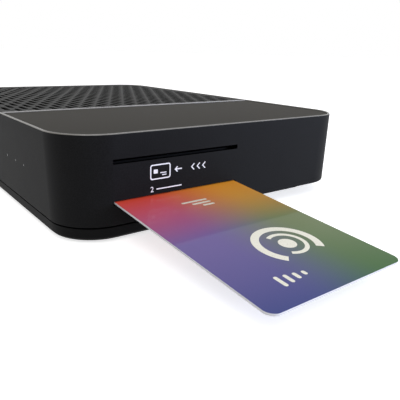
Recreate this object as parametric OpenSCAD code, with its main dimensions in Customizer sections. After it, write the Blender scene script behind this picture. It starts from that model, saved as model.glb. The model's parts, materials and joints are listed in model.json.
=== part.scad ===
// Satellite television receiver: a flat case with a vented top and two card slots
// in one short side, with a card standing half out of the lower slot.
// Millimetres. X runs to the card side, Y to the rear, Z up from the floor.

/* [Case] */
// Width over the two short sides
case_w = 205; // [195:1:250]
// Depth from the front face to the rear face
case_d = 140; // [132:1:170]
// Height from the underside to the rim
case_h = 37.2; // [36.4:0.1:46]
// Radius of the four upright corners
corner_r = 18; // [14:0.5:22]
// Thickness of the side walls at their lower edge
wall_t = 2.4; // [2:0.1:3]
// Angle by which the walls lean in towards the floor
draft = 1; // [0:0.1:1.5]
// Height of the feet below the underside
foot_h = 1.2; // [1:0.1:2]
// Height of the shell's lower edge above the underside
shell_rise = 4.9; // [4.5:0.1:6]

/* [Top] */
// Width of the rim that stands round the top
rim_t = 1.1; // [0.9:0.1:1.6]
// Thickness of the two top panels
panel_t = 2; // [1.5:0.1:2.4]
// Depth of the panels below the rim
panel_drop = 0.4; // [0.2:0.1:0.8]
// Groove between a panel and what borders it
panel_gap = 0.35; // [0.2:0.05:0.6]
// Width of the smooth panel, from the card side to the divider
smooth_w = 70; // [50:1:90]
// Width of the raised divider between the panels
divider_w = 1.2; // [0.8:0.1:2]

/* [Vent grille] */
// Pitch of the slots along a row
slot_pitch = 15.06; // [13:0.02:18]
// Pitch of the rows, each shifted by half a slot
row_pitch = 3.94; // [3.4:0.02:5]
// Length of a slot
vent_l = 12; // [8:0.1:12.4]
// Width of a slot
vent_w = 2.2; // [1.6:0.1:2.6]
// Solid border round the slots
grille_border = 3; // [2:0.5:6]

/* [Base] */
// Step of the plinth in from the side and rear faces
plinth_in = 12; // [10:0.5:14]
// Step of the front band in from the front face
band_in = 0.9; // [0.6:0.1:1.4]
// Shadow gap between the band and the shell
band_gap = 0.6; // [0.4:0.1:1]
// Length of the band along each side, from the front
band_l = 50; // [30:1:60]
// Thickness of the floor and of the flange
floor_t = 2; // [1.5:0.1:2.5]
// Height of the standoffs under the main board
standoff_h = 5.2; // [4.5:0.1:5.4]
// Radius of a rubber foot
foot_r = 7; // [5:0.5:9]

/* [Card] */
// Width of the card
card_w = 53.98; // [53.9:0.02:54.1]
// Length of the card
card_l = 85.6; // [85.4:0.1:85.8]
// Thickness of the card
card_t = 0.76; // [0.7:0.02:0.84]
// Radius of the card's corners
card_r = 3.18; // [3:0.02:3.4]
// Length of the card inside the case
card_in = 10.4; // [6:0.1:20]
// Angle at which the card droops towards its outer end
card_tilt = 4.85; // [0:0.05:5]
// Travel of the card from there to the reader's stop
card_travel = 50; // [40:1:52]

/* [Readers] */
// Distance of the slots' middle behind the front face
slot_back = 44.4; // [43.6:0.1:50]
// Height of the lower slot above the underside
lower_slot_h = 13.06; // [12.8:0.02:13.6]
// Height of the upper slot above the underside
upper_slot_h = 27.6; // [27:0.1:28.4]
// Play of the card in a slot, at each long edge
side_play = 0.41; // [0.3:0.01:0.6]
// Clear height of a slot
slot_gap = 1.5; // [1.4:0.1:1.8]
// Thickness of a reader's bed
bed_t = 2.2; // [1.8:0.1:2.4]

/* [Boards] */
// Thickness of the main and reader boards
board_t = 1.6; // [1.2:0.1:1.8]
// Clear edge of the main board, from each side wall
board_side = 15.5; // [14:0.5:20]
// Clear edge of the main board at the front
board_front = 13; // [12:0.5:16]

/* [Front] */
// Distances of the three indicators from the card side
lamp_from_side = [64.4, 53.4, 42.8];
// Height of the indicators above the underside
lamp_h = 20; // [15:0.1:22]
// Radius of an indicator's end
lamp_r = 0.4; // [0.3:0.05:1]
// Radius of the standby button
button_r = 4.5; // [3.5:0.1:5]
// Travel of the standby button
button_travel = 0.4; // [0.2:0.05:0.45]

/* [Hidden] */
$fn = 64;

plastic = "#3b3a39";
steel = "#b9bcc0";
board_green = "#1f5d3a";

// Clearance between pieces that sit in each other, and the overshoot of cuts
fit = 0.3;
cut = 1;

// Heights above the floor
rim_z = foot_h + case_h;
shell_z = foot_h + shell_rise;
floor_z = foot_h + floor_t;
flange_z = shell_z + floor_t;
seat_z = rim_z - panel_drop - panel_t;
ledge_t = 1.6;
ledge_w = 3;
ledge_z = seat_z - ledge_t;
board_z = floor_z + standoff_h;
deck_z = board_z + board_t;
rim_edge = 0.4;

// Straight inside of the shell
shell_in = lean(shell_z);
cave_w = case_w - 2 * (shell_in + wall_t);
cave_d = case_d - 2 * (shell_in + wall_t);
cave_r = corner_r - shell_in - wall_t;
recess_w = case_w - 2 * rim_t;
recess_d = case_d - 2 * rim_t;
recess_r = corner_r - rim_t;
divider_x = case_w / 2 - smooth_w;

// Case screws and their bosses
boss_at = [case_w / 2 - 13.5, case_d / 2 - 10.5];
boss_r = 3.5;
screw_r = 1.45;
pilot_r = 1.5;
screw_head_r = 2.7;
screw_grip = 10;

// Slots and readers, seen from the slot's middle on the outer face
slot_w = card_w + 2 * side_play;
slot_y = slot_back - case_d / 2;
lower_z = foot_h + lower_slot_h;
upper_z = foot_h + upper_slot_h;
rail_t = 2;
rail_top = 1.1;
bed_top = -card_t / 2 - 0.35;
bed_bottom = bed_top - bed_t;
bed_start = -(wall_t + shell_in + 0.6);
stop_x = -(card_in + card_travel + fit);
bed_end = stop_x - 2;
cover_t = 0.5;
chip_size = [11.4, 12.6];
chip_t = 0.2;
chip_from_end = 15;
chip_side = 3.1;
contact_x = stop_x + fit + chip_from_end;
leg_r = 2.5;
leg_x = [face_x(lower_z) - 54, face_x(lower_z) - 30];
leg_y = [slot_y - 20, slot_y + 20];
small_screw_r = 1.15;
small_pilot_r = 1.25;
small_head_r = 2.2;

// Front board, behind the front wall
front_in = cave_d / 2;
front_board_t = 1.2;
front_board_y = -front_in + 3.84;
front_board_back = front_board_y + front_board_t;

// Reader board, on two tall posts of the base and two spacers on the main board
reader_board_z = upper_z + bed_bottom - board_t;
reader_post_x = [face_x(upper_z) - 52, face_x(upper_z) - 22];
post_r = 2.4;
front_tab = post_r + 0.2;
front_post_y = max(slot_y - 33.6, front_board_back + front_tab + 0.15);
spacer_y = slot_y + 33.8;
spacer_r = 2.5;
peg_r = 1.2;
peg_x = [face_x(upper_z) - 50, face_x(upper_z) - 14];

// Main board and its standoffs
board_x = cave_w / 2 - board_side;
board_y0 = board_front - cave_d / 2;
board_y1 = cave_d / 2 - 5.2;
standoff_r = 3;
standoffs = [for (x = [-1, 1], y = [board_y0 + 6, board_y1 - 10]) [x * (board_x - 6), y]];
mid_standoff = [20, 0];
all_standoffs = concat(standoffs, [mid_standoff]);

processor_at = [-12, 2];
processor_t = 1.8;
pad_t = 0.5;

// The front board's outline and what it carries
front_board_x = [-74, case_w / 2 - 32.5];
front_board_top = foot_h + 25.8;
lamp_x = [for (s = lamp_from_side) case_w / 2 - s];
lamp_z = foot_h + lamp_h;
button_x = -62;
button_z = foot_h + 19;
button_flange_y = -front_in + 0.34;
window_x = -45;
window_r = 3.5;
switch_t = 1.4;
switch_floor = 0.35;
plunger_r = 1.5;
plunger_end = front_board_y - switch_floor - button_travel - 0.1;
cable_x = 20;

// Rear panel and connectors
rear_t = 1.8;
rear_out = cave_d / 2 - 0.25;
rear_in = rear_out - rear_t;
rear_w = 166;
rear_top = ledge_z - 0.4;
window_w = 160;
window_z = [foot_h + 7.8, foot_h + 30.8];
socket_y = rear_out + 0.4;
aerial_x = [62, 42];
aerial_z = deck_z + 9;
aerial_r = 4.76;
aerial_root_r = 4.4;
nut_t = 2.4;
washer_t = 0.7;
thread_start = rear_out + washer_t + nut_t;
aerial_end = thread_start + 8.1;
can_x = [32, 72];
can_y = [rear_in - 27.3, rear_in - 2.5];
can_h = 14;
can_t = 0.4;
hdmi_x = 18;
network_x = -2;
usb_x = -20;
audio_x = -35;
audio_z = deck_z + 7;
audio_r = 4.15;
audio_root_r = 3.8;
audio_end = rear_out + 8.4;
av_x = -46;
av_z = deck_z + 4;
av_r = 1.8;
inlet_x = -56;
inlet_z = deck_z + 5.6;
inlet_r = 3.2;
inlet_pin_r = 1.05;
rocker_x = -71;
rocker_z = foot_h + 18.8;
rocker_y = rear_out - 2.6;
rocker_tilt = 12;
rocker_pin_r = 0.8;
rocker_hole_r = 0.85;

// How far a wall lies inside the rim's outline at height z
function lean(z) = (rim_z - z) * tan(draft);

// X of the card side's outer face at height z
function face_x(z) = case_w / 2 - lean(z);

module rounded_rect(w, d, r) {
    square([w - 2 * r, d], center = true);
    square([w, d - 2 * r], center = true);
    for (x = [-1, 1], y = [-1, 1])
        translate([x * (w / 2 - r), y * (d / 2 - r)]) circle(r);
}

module slab(w, d, r, z0, z1) {
    translate([0, 0, z0]) linear_extrude(z1 - z0) rounded_rect(w, d, r);
}

// A slab whose sides lie in0 inside the outline at the bottom and in1 at the top
module leaning_slab(w, d, r, z0, z1, in0, in1) {
    h = z1 - z0;
    translate([0, 0, z0]) {
        rotate([90, 0, 0]) linear_extrude(d - 2 * r, center = true) lean_profile(w, h, in0, in1);
        rotate([90, 0, 90]) linear_extrude(w - 2 * r, center = true) lean_profile(d, h, in0, in1);
        for (x = [-1, 1], y = [-1, 1])
            translate([x * (w / 2 - r), y * (d / 2 - r), 0]) cylinder(h, r - in0, r - in1);
    }
}

module lean_profile(w, h, in0, in1) {
    polygon([[in0 - w / 2, 0], [w / 2 - in0, 0], [w / 2 - in1, h], [in1 - w / 2, h]]);
}

// A box given by its two corners
module block(low, high) {
    translate(low) cube(high - low);
}

// A cylinder along Y between two depths
module rod_y(x, z, y0, y1, r) {
    translate([x, y0, z]) rotate([-90, 0, 0]) cylinder(y1 - y0, r, r);
}

module four_bosses() {
    for (x = [-1, 1], y = [-1, 1]) translate([x * boss_at.x, y * boss_at.y, 0]) children();
}

// Places children at a slot: +X outwards along the card, Z square to the card
module at_slot(z, tilt) {
    translate([face_x(z), slot_y, z]) rotate([0, tilt, 0]) children();
}

module top_shell() color(plastic) {
    difference() {
        union() {
            difference() {
                shell_outside();
                slab(cave_w, cave_d, cave_r, shell_z - cut, ledge_z);
                slab(cave_w - 2 * ledge_w, cave_d - 2 * ledge_w, cave_r - ledge_w,
                    ledge_z - cut, seat_z + cut);
                slab(recess_w, recess_d, recess_r, seat_z, rim_z + cut);
            }
            block([divider_x - 4, -cave_d / 2, ledge_z], [divider_x + 4, cave_d / 2, seat_z]);
            shell_bosses();
        }
        at_slot(upper_z, 0) slot_cut();
        at_slot(lower_z, card_tilt) slot_cut();
        for (x = lamp_x) rod_y(x, lamp_z, -case_d / 2 - cut, cut - front_in, lamp_r + 0.05);
        rod_y(button_x, button_z, -case_d / 2 - cut, cut - front_in, button_r + fit);
        rod_y(window_x, button_z, -case_d / 2 - cut, cut - front_in, window_r + 0.1);
        block([-window_w / 2, cave_d / 2 - cut, window_z[0]],
            [window_w / 2, case_d / 2 + cut, window_z[1]]);
    }
}

module shell_outside() {
    edge_z = rim_z - rim_edge;
    leaning_slab(case_w, case_d, corner_r, shell_z, edge_z, shell_in, lean(edge_z));
    leaning_slab(case_w, case_d, corner_r, edge_z, rim_z, lean(edge_z), rim_edge);
}

// Bosses under the ledge, each with a web to the rounded corner
module shell_bosses() {
    web_x = boss_at.x - case_w / 2 + corner_r;
    web_y = boss_at.y - case_d / 2 + corner_r;
    web_l = cave_r + wall_t / 2 - norm([web_x, web_y]);
    difference() {
        for (x = [0, 1], y = [0, 1]) mirror([x, 0, 0]) mirror([0, y, 0])
            translate([boss_at.x, boss_at.y, flange_z]) {
                cylinder(ledge_z - flange_z + ledge_t / 2, boss_r, boss_r);
                rotate([0, 0, atan2(web_y, web_x)])
                    translate([0, -0.8, 4]) cube([web_l, 1.6, ledge_z - flange_z - 3]);
            }
        four_bosses() translate([0, 0, flange_z - cut]) cylinder(screw_grip + 3, pilot_r, pilot_r);
    }
}

module slot_cut() {
    cube([16, slot_w, slot_gap], center = true);
}

// The part of the top inset that lies between two X positions
module top_piece(x0, x1) {
    intersection() {
        rounded_rect(recess_w - 2 * panel_gap, recess_d - 2 * panel_gap, recess_r - panel_gap);
        translate([x0, -case_d / 2]) square([x1 - x0, case_d]);
    }
}

module smooth_panel() color("#55524f") {
    translate([0, 0, seat_z]) linear_extrude(panel_t)
        top_piece(divider_x + divider_w / 2 + panel_gap / 2, case_w / 2);
}

module vent_grille() color("#4b4846") {
    translate([0, 0, seat_z]) linear_extrude(panel_t) difference() {
        grille_outline(0);
        intersection() {
            vent_slots();
            grille_outline(grille_border);
        }
    }
}

module grille_outline(border) {
    w = recess_w - 2 * panel_gap;
    d = recess_d - 2 * panel_gap;
    r = recess_r - panel_gap;
    intersection() {
        rounded_rect(w - 2 * border, d - 2 * border, r - border);
        translate([-case_w / 2, -case_d / 2])
            square([case_w / 2 + divider_x - divider_w / 2 - panel_gap / 2 - border, case_d]);
    }
}

// Staggered rows of slots with pointed ends, counted from the front and the divider
module vent_slots() {
    first_x = divider_x - 14.4;
    first_y = 6.5 - case_d / 2;
    rows = floor((case_d - 8) / row_pitch);
    columns = floor((case_w - smooth_w) / slot_pitch);
    for (row = [0 : rows - 1], column = [-1 : columns])
        translate([first_x + slot_pitch * (row % 2 / 2 - column), first_y + row_pitch * row])
            polygon([[-vent_l / 2, 0], [-vent_l / 2 + 1.6, -vent_w / 2],
                [vent_l / 2 - 1.6, -vent_w / 2], [vent_l / 2, 0],
                [vent_l / 2 - 1.6, vent_w / 2], [-vent_l / 2 + 1.6, vent_w / 2]]);
}

module divider_strip() color("#8d8a86") {
    length = recess_d - 2 * panel_gap;
    block([divider_x - divider_w / 2 + panel_gap / 4, -length / 2, seat_z],
        [divider_x + divider_w / 2 - panel_gap / 4, length / 2, rim_z]);
}

// A shallow tray: a stepped plinth, a flange inside the shell and a band at the front
module base_tray() color("#343332") {
    front_y = band_l - case_d / 2;
    difference() {
        union() {
            slab(case_w - 2 * plinth_in, case_d - 2 * plinth_in, corner_r - plinth_in, foot_h, flange_z);
            slab(cave_w - 2 * fit, cave_d - 2 * fit, cave_r - fit, shell_z, flange_z);
            intersection() {
                union() {
                    front_band();
                    slab(cave_w - 2 * fit, cave_d - 2 * fit, cave_r - fit, foot_h + 1, flange_z);
                }
                block([-case_w, -case_d, 0], [case_w, front_y, flange_z]);
            }
        }
        slab(case_w - 2 * (plinth_in + floor_t), case_d - 2 * (plinth_in + floor_t),
            corner_r - plinth_in - floor_t, floor_z, flange_z + cut);
        intersection() {
            slab(cave_w - 2 * (fit + floor_t), cave_d - 2 * (fit + floor_t),
                cave_r - fit - floor_t, floor_z, flange_z + cut);
            block([-case_w, -case_d, 0], [case_w, front_y - floor_t, flange_z + 2 * cut]);
        }
        foot_places() translate([0, 0, foot_h - cut]) cylinder(cut + 0.5, foot_r + 0.2, foot_r + 0.2);
        four_bosses() cylinder(flange_z + cut, screw_r + 0.25, screw_r + 0.25);
        four_bosses() cylinder(shell_z, screw_head_r + fit, screw_head_r + fit);
    }
    base_inner_posts();
    base_rails();
}

module front_band() {
    top_z = shell_z - band_gap;
    edge = 1;
    leaning_slab(case_w, case_d, corner_r, foot_h, foot_h + edge, band_in + edge, band_in);
    slab(case_w - 2 * band_in, case_d - 2 * band_in, corner_r - band_in, foot_h + edge, top_z);
}

// Standoffs, tall reader posts and the sleeves round the two front screws
module base_inner_posts() {
    for (p = all_standoffs) translate([p.x, p.y, floor_z - 0.5]) difference() {
        cylinder(standoff_h + 0.5, standoff_r, standoff_r);
        translate([0, 0, 1]) cylinder(standoff_h, small_pilot_r, small_pilot_r);
    }
    for (x = reader_post_x) translate([x, front_post_y, floor_z - 0.5]) difference() {
        cylinder(reader_board_z - floor_z + 0.5, post_r, post_r);
        translate([0, 0, 8]) cylinder(reader_board_z - floor_z, small_pilot_r, small_pilot_r);
    }
    for (x = [-1, 1]) translate([x * boss_at.x, -boss_at.y, floor_z - 0.5]) difference() {
        cylinder(flange_z - floor_z + 0.5, 4.6, 4.6);
        translate([0, 0, -cut])
            cylinder(shell_z - floor_z + 0.5 + cut, screw_head_r + fit, screw_head_r + fit);
        cylinder(flange_z, screw_r + 0.25, screw_r + 0.25);
    }
}

// Rails that hold the front board and the rear panel upright
module base_rails() {
    for (x = [-60, 0, 40]) {
        block([x - 3, 1.8 - front_in, floor_z - 0.5], [x + 3, front_board_y - 0.1, flange_z]);
        block([x - 3, front_board_back + 0.1, floor_z - 0.5],
            [x + 3, front_board_back + 1.6, flange_z]);
    }
    for (x = [-60, 0, 60])
        block([x - 8, rear_in - 1.7, flange_z - 0.5], [x + 8, rear_in - 0.1, flange_z + 1.9]);
}

module foot_places() {
    for (x = [-1, 1], y = [-1, 1])
        translate([x * (case_w / 2 - 27.5), y * (case_d / 2 - 25), 0]) children();
}

module rubber_feet() color("#1c1c1c") {
    foot_places() cylinder(foot_h + 0.5, foot_r, foot_r);
}

module case_screws() color(steel) {
    four_bosses() {
        translate([0, 0, shell_z]) cylinder(floor_t + screw_grip, screw_r, screw_r);
        translate([0, 0, shell_z - 1.8]) difference() {
            cylinder(1.8, screw_head_r, screw_head_r);
            translate([0, 0, -cut]) cross_recess();
        }
    }
}

module cross_recess() {
    for (a = [0, 90]) rotate([0, 0, a]) translate([-1.4, -0.3, 0]) cube([2.8, 0.6, cut + 0.8]);
}

module rear_panel() color("#2f2f30") {
    difference() {
        block([-rear_w / 2, rear_in, flange_z + 0.1], [rear_w / 2, rear_out, rear_top]);
        for (x = aerial_x) panel_hole(x, aerial_z, aerial_r + 0.3);
        panel_hole(audio_x, audio_z, audio_r + 0.3);
        panel_hole(av_x, av_z, 3.7);
        panel_hole(inlet_x, inlet_z, 4.7);
        panel_slot(hdmi_x, deck_z + 3, 15, 5.8);
        panel_slot(network_x, deck_z + 6.7, 16, 13.4);
        panel_slot(usb_x, deck_z + 4, 13.4, 5.9);
        panel_slot(rocker_x, rocker_z, 13.6, 8.6);
    }
}

module panel_hole(x, z, r) {
    rod_y(x, z, rear_in - cut, rear_out + cut, r);
}

// A rectangular cut-out that leaves the clearance round a socket of size w by h
module panel_slot(x, z, w, h) {
    block([x - w / 2 - fit, rear_in - cut, z - h / 2 - fit],
        [x + w / 2 + fit, rear_out + cut, z + h / 2 + fit]);
}

module smart_card() color("#8f6fae") {
    at_slot(lower_z, card_tilt) difference() {
        translate([card_l / 2 - card_in, 0, -card_t / 2]) linear_extrude(card_t)
            rounded_rect(card_l, card_w, card_r);
        translate([chip_from_end - card_in, -chip_side, -card_t / 2])
            cube([chip_size.x + 0.1, chip_size.y + 0.1, 2 * chip_t], center = true);
    }
}

module card_chip() color("#d9b65a") {
    at_slot(lower_z, card_tilt)
        translate([chip_from_end - card_in - chip_size.x / 2, -chip_side - chip_size.y / 2, -card_t / 2])
            cube([chip_size.x, chip_size.y, chip_t]);
}

// The bed that a card slides over, with side rails, a stop and contact windows
module reader_bed() {
    half = slot_w / 2;
    difference() {
        union() {
            block([bed_end, -half - rail_t, bed_bottom], [bed_start, half + rail_t, bed_top]);
            for (side = [0, 1]) mirror([0, side, 0])
                block([bed_end, half, bed_top], [bed_start, half + rail_t, rail_top]);
            block([bed_end, -half, bed_top], [stop_x, half, rail_top]);
        }
        each_contact() translate([0, 0, bed_bottom - cut]) cube([1.4, 1.3, 10 * cut], center = true);
    }
}

// Eight contacts in two columns, at the chip of a card that is fully in
module each_contact() {
    for (side = [-1, 1], row = [-1.5 : 1.5])
        translate([contact_x + side * 3.81, row * 2.54 - chip_side, 0]) children();
}

module reader_contacts() {
    each_contact() {
        translate([-1.6, -0.5, bed_top]) cube([3.2, 1, 0.22]);
        translate([-0.4, -0.4, bed_bottom]) cube([0.8, 0.8, bed_t]);
    }
}

module reader_cover() {
    half = slot_w / 2 + rail_t;
    difference() {
        block([bed_end, -half - cover_t, bed_bottom + 0.8],
            [bed_start - 4, half + cover_t, rail_top + cover_t]);
        block([bed_end - cut, -half, bed_bottom - cut], [bed_start, half, rail_top]);
        block([contact_x - 12, -14, 0], [contact_x + 14, 14, rail_top + 2]);
    }
}

module lower_reader_bed() color("#26272a") {
    at_slot(lower_z, card_tilt) reader_bed();
    for (x = leg_x, y = leg_y) translate([x, y, deck_z]) difference() {
        cylinder(leg_top(x) - deck_z, leg_r, leg_r);
        translate([0, 0, -cut]) cylinder(cut + 2.6, small_pilot_r, small_pilot_r);
    }
}

// Height, inside the tilted bed, at which a leg at x ends
function leg_top(x) = lower_z + (face_x(lower_z) - x) * tan(card_tilt) + bed_bottom + bed_t / 2;

module lower_reader_cover() color(steel) {
    at_slot(lower_z, card_tilt) reader_cover();
}

module lower_reader_contacts() color("#cfa64a") {
    at_slot(lower_z, card_tilt) reader_contacts();
}

module reader_screws() color(steel) {
    for (x = leg_x, y = leg_y) translate([x, y, 0]) {
        translate([0, 0, board_z - 1.2]) cylinder(1.2, small_head_r, small_head_r);
        translate([0, 0, board_z]) cylinder(board_t + 2.4, small_screw_r, small_screw_r);
    }
}

module upper_reader_bed() color("#26272a") {
    at_slot(upper_z, 0) reader_bed();
    for (x = peg_x, y = leg_y)
        translate([x, y, reader_board_z]) cylinder(board_t + bed_t / 2, peg_r, peg_r);
}

module upper_reader_cover() color(steel) {
    at_slot(upper_z, 0) reader_cover();
}

module upper_reader_contacts() color("#cfa64a") {
    at_slot(upper_z, 0) reader_contacts();
}

// Board under the upper reader, with two tabs for the front posts
module upper_reader_board() color(board_green) {
    half = slot_w / 2 + rail_t + cover_t;
    difference() {
        union() {
            block([face_x(upper_z) + bed_end, slot_y - half, reader_board_z],
                [face_x(upper_z) - 7, spacer_y + 3.2, reader_board_z + board_t]);
            for (x = reader_post_x) block([x - 3.6, front_post_y - front_tab, reader_board_z],
                [x + 3.6, slot_y - half + 1, reader_board_z + board_t]);
        }
        reader_board_fixings() cylinder(rim_z, small_screw_r + 0.2, small_screw_r + 0.2);
        for (x = peg_x, y = leg_y) translate([x, y, 0]) cylinder(rim_z, peg_r + 0.1, peg_r + 0.1);
    }
}

module reader_board_fixings() {
    for (x = reader_post_x, y = [front_post_y, spacer_y]) translate([x, y, 0]) children();
}

module reader_board_screws() color(steel) {
    reader_board_fixings() {
        translate([0, 0, reader_board_z + board_t]) cylinder(1.5, small_head_r, small_head_r);
        translate([0, 0, reader_board_z - 5]) cylinder(board_t + 5, small_screw_r, small_screw_r);
    }
}

module reader_spacers() color("#c8a755") {
    for (x = reader_post_x) translate([x, spacer_y, 0]) difference() {
        union() {
            translate([0, 0, deck_z]) cylinder(reader_board_z - deck_z, spacer_r, spacer_r, $fn = 6);
            translate([0, 0, board_z]) cylinder(board_t, 1.5, 1.5);
        }
        translate([0, 0, reader_board_z - 7]) cylinder(8, small_pilot_r, small_pilot_r);
    }
}

// Tall socket and pins that join the reader board to the main board
module link_socket() color("#1d1d1f") {
    block([reader_post_x[0] + 8, spacer_y - 1.3, deck_z],
        [reader_post_x[0] + 22, spacer_y + 1.3, reader_board_z - 2.5]);
}

module link_pins() color("#cfa64a") {
    for (i = [0 : 4])
        translate([reader_post_x[0] + 9.6 + 2.54 * i, spacer_y - 0.32, reader_board_z - 2.5])
            cube([0.64, 0.64, 2.5]);
}

module standby_button() color("#454443") {
    face = lean(button_z) - case_d / 2 - 0.6;
    rod_y(button_x, button_z, face, button_flange_y + 0.5, button_r);
    rod_y(button_x, button_z, button_flange_y, button_flange_y + 1, button_r + 1.5);
}

module switch_plunger() color("#d8d4c8") {
    rod_y(button_x, button_z, button_flange_y + 1, plunger_end, plunger_r);
}

module standby_switch() color("#222326") {
    difference() {
        block([button_x - 3, front_board_y - switch_t, button_z - 3],
            [button_x + 3, front_board_y, button_z + 3]);
        rod_y(button_x, button_z, front_board_y - switch_t - cut, front_board_y - switch_floor,
            plunger_r + fit);
    }
}

module infrared_window() color("#301a1c") {
    face = lean(button_z) - case_d / 2 + 0.05;
    rod_y(window_x, button_z, face, button_flange_y + 0.5, window_r);
    rod_y(window_x, button_z, button_flange_y - 0.2, button_flange_y + 0.8, window_r + 1);
}

module infrared_receiver() color("#1a1a1c") {
    block([window_x - 2.5, button_flange_y + 1.1, button_z - 3],
        [window_x + 2.5, front_board_y, button_z + 3]);
}

// Clear bar behind the front wall, with a pin out to each indicator hole
module light_guide() color("#d9dde0") {
    block([lamp_x[0] - 3, 0.3 - front_in, lamp_z - 2], [lamp_x[2] + 3, 1.8 - front_in, lamp_z + 2]);
    for (x = lamp_x) {
        rod_y(x, lamp_z, lean(lamp_z) - case_d / 2 + 0.05, 1 - front_in, lamp_r);
        rod_y(x, lamp_z, 1 - front_in, front_board_y - 1.3, 1.2);
    }
}

module indicator_lamps() color("#e6e0c8") {
    for (x = lamp_x)
        block([x - 1.6, front_board_y - 1, lamp_z - 0.8], [x + 1.6, front_board_y, lamp_z + 0.8]);
}

module front_board() color(board_green) {
    block([front_board_x[0], front_board_y, floor_z + 0.1],
        [front_board_x[1], front_board_back, front_board_top]);
}

module cable_sockets() color("#e3dfd2") {
    back = front_board_back;
    block([cable_x - 8, back, deck_z - 0.5], [cable_x + 8, back + 3.2, deck_z + 3]);
    block([cable_x - 8, board_y0 + 1, deck_z], [cable_x + 8, board_y0 + 5, deck_z + 3]);
}

module front_flat_cable() color("#d5d8db") {
    block([cable_x - 6.5, front_board_back + 3.2, deck_z + 1.2],
        [cable_x + 6.5, board_y0 + 1, deck_z + 1.5]);
}

module main_board() color(board_green) {
    difference() {
        block([-board_x, board_y0, board_z], [board_x, board_y1, deck_z]);
        for (p = all_standoffs) board_hole(p.x, p.y, small_screw_r + 0.2);
        for (x = leg_x, y = leg_y) board_hole(x, y, small_screw_r + 0.2);
        for (x = reader_post_x) board_hole(x, spacer_y, 1.55);
    }
}

module board_hole(x, y, r) {
    translate([x, y, board_z - cut]) cylinder(board_t + 2 * cut, r, r);
}

module board_screws() color(steel) {
    for (p = all_standoffs) translate([p.x, p.y, 0]) {
        translate([0, 0, deck_z]) cylinder(1.5, small_head_r, small_head_r);
        translate([0, 0, board_z - 3.4]) cylinder(board_t + 3.4, small_screw_r, small_screw_r);
    }
}

// A chip or block standing on the main board, given by its middle and size
module on_deck(x, y, size, up = 0) {
    translate([x - size.x / 2, y - size.y / 2, deck_z + up]) cube(size);
}

module main_processor() color("#202124") {
    on_deck(processor_at.x, processor_at.y, [23, 23, processor_t]);
}

module thermal_pad() color("#8fa3b5") {
    on_deck(processor_at.x, processor_at.y, [20, 20, pad_t], processor_t);
}

module heatsink() color("#2c2d30") {
    base_t = 2.5;
    side = 34;
    fins = 9;
    on_deck(processor_at.x, processor_at.y, [side, side, base_t], processor_t + pad_t);
    for (i = [0 : fins - 1])
        on_deck(processor_at.x + (i / (fins - 1) - 0.5) * (side - 1), processor_at.y, [1, side, 9],
            processor_t + pad_t + base_t);
}

module memory_chips() color("#1e1f22") {
    for (y = [-18, 18]) on_deck(-42, y - 2, [11, 13, 1.1]);
    on_deck(-40, 0, [9, 12, 1]);
    on_deck(-12, -28, [8, 6, 1.7]);
}

module capacitors() color("#2f3b56") {
    for (p = [[-68, 34], [-56, 36], [-44, 36], [-70, -20], [24, 28], [12, -34]])
        translate([p.x, p.y, deck_z]) cylinder(11, 4, 4);
}

module inductors() color("#4a4a4c") {
    for (p = [[-66, 18], [-54, 18], [-66, 4]]) on_deck(p.x, p.y, [7.5, 7.5, 4]);
}

module regulators() color("#1b1c1e") {
    for (p = [[-54, 4], [-68, -8], [-56, -10]]) on_deck(p.x, p.y, [6.6, 6, 2.3]);
}

module crystal() color("#c9ccd0") {
    on_deck(10, -22, [11, 4.6, 3.4]);
}

module tuner_can() color(steel) {
    difference() {
        block([can_x[0], can_y[0], deck_z], [can_x[1], can_y[1], deck_z + can_h]);
        block([can_x[0] + can_t, can_y[0] + can_t, deck_z - cut],
            [can_x[1] - can_t, can_y[1] - can_t, deck_z + can_h + cut]);
        for (x = aerial_x) rod_y(x, aerial_z, can_y[1] - 2, can_y[1] + cut, 3);
    }
}

module tuner_lid() color("#c6c9cc") {
    low = [can_x[0] - can_t, can_y[0] - can_t, deck_z + can_h - 1.6];
    high = [can_x[1] + can_t, can_y[1] + can_t, deck_z + can_h + can_t];
    difference() {
        block(low, high);
        block([can_x[0], can_y[0], deck_z], [can_x[1], can_y[1], deck_z + can_h]);
    }
}

module aerial_connectors() color("#c4c2ba") {
    for (x = aerial_x) difference() {
        union() {
            rod_y(x, aerial_z, can_y[1] + can_t, rear_in - 0.05, 6.4);
            rod_y(x, aerial_z, rear_in - 0.05, thread_start, aerial_root_r);
            rod_y(x, aerial_z, thread_start, aerial_end, aerial_r);
            rod_y(x, aerial_z, can_y[1] - 3, can_y[1] + can_t, 2.9);
        }
        rod_y(x, aerial_z, rear_in, aerial_end + cut, 3.2);
    }
}

module aerial_insulators() color("#eeeae0") {
    for (x = aerial_x) difference() {
        rod_y(x, aerial_z, rear_in, aerial_end - 0.6, 3.15);
        rod_y(x, aerial_z, aerial_end - 7, aerial_end, 0.6);
    }
}

module connector_washers() color(steel) {
    for (x = aerial_x) difference() {
        rod_y(x, aerial_z, rear_out, rear_out + washer_t, 7.2);
        rod_y(x, aerial_z, rear_out - cut, rear_out + washer_t + cut, aerial_r + 0.1);
    }
}

module connector_nuts() color("#cfd1d2") {
    for (x = aerial_x) translate([x, rear_out + washer_t, aerial_z]) rotate([-90, 0, 0]) difference() {
        cylinder(nut_t, 6.9, 6.9, $fn = 6);
        translate([0, 0, -cut]) cylinder(nut_t + 2 * cut, aerial_root_r + 0.05, aerial_root_r + 0.05);
    }
}

// A socket's shell: a box of size w by h with a mouth in its rear face
module socket_shell(x, z, w, h, depth, t, mouth_depth) {
    difference() {
        block([x - w / 2, socket_y - depth, z - h / 2], [x + w / 2, socket_y, z + h / 2]);
        block([x - w / 2 + t, socket_y - mouth_depth, z - h / 2 + t],
            [x + w / 2 - t, socket_y + cut, z + h / 2 - t]);
    }
}

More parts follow.
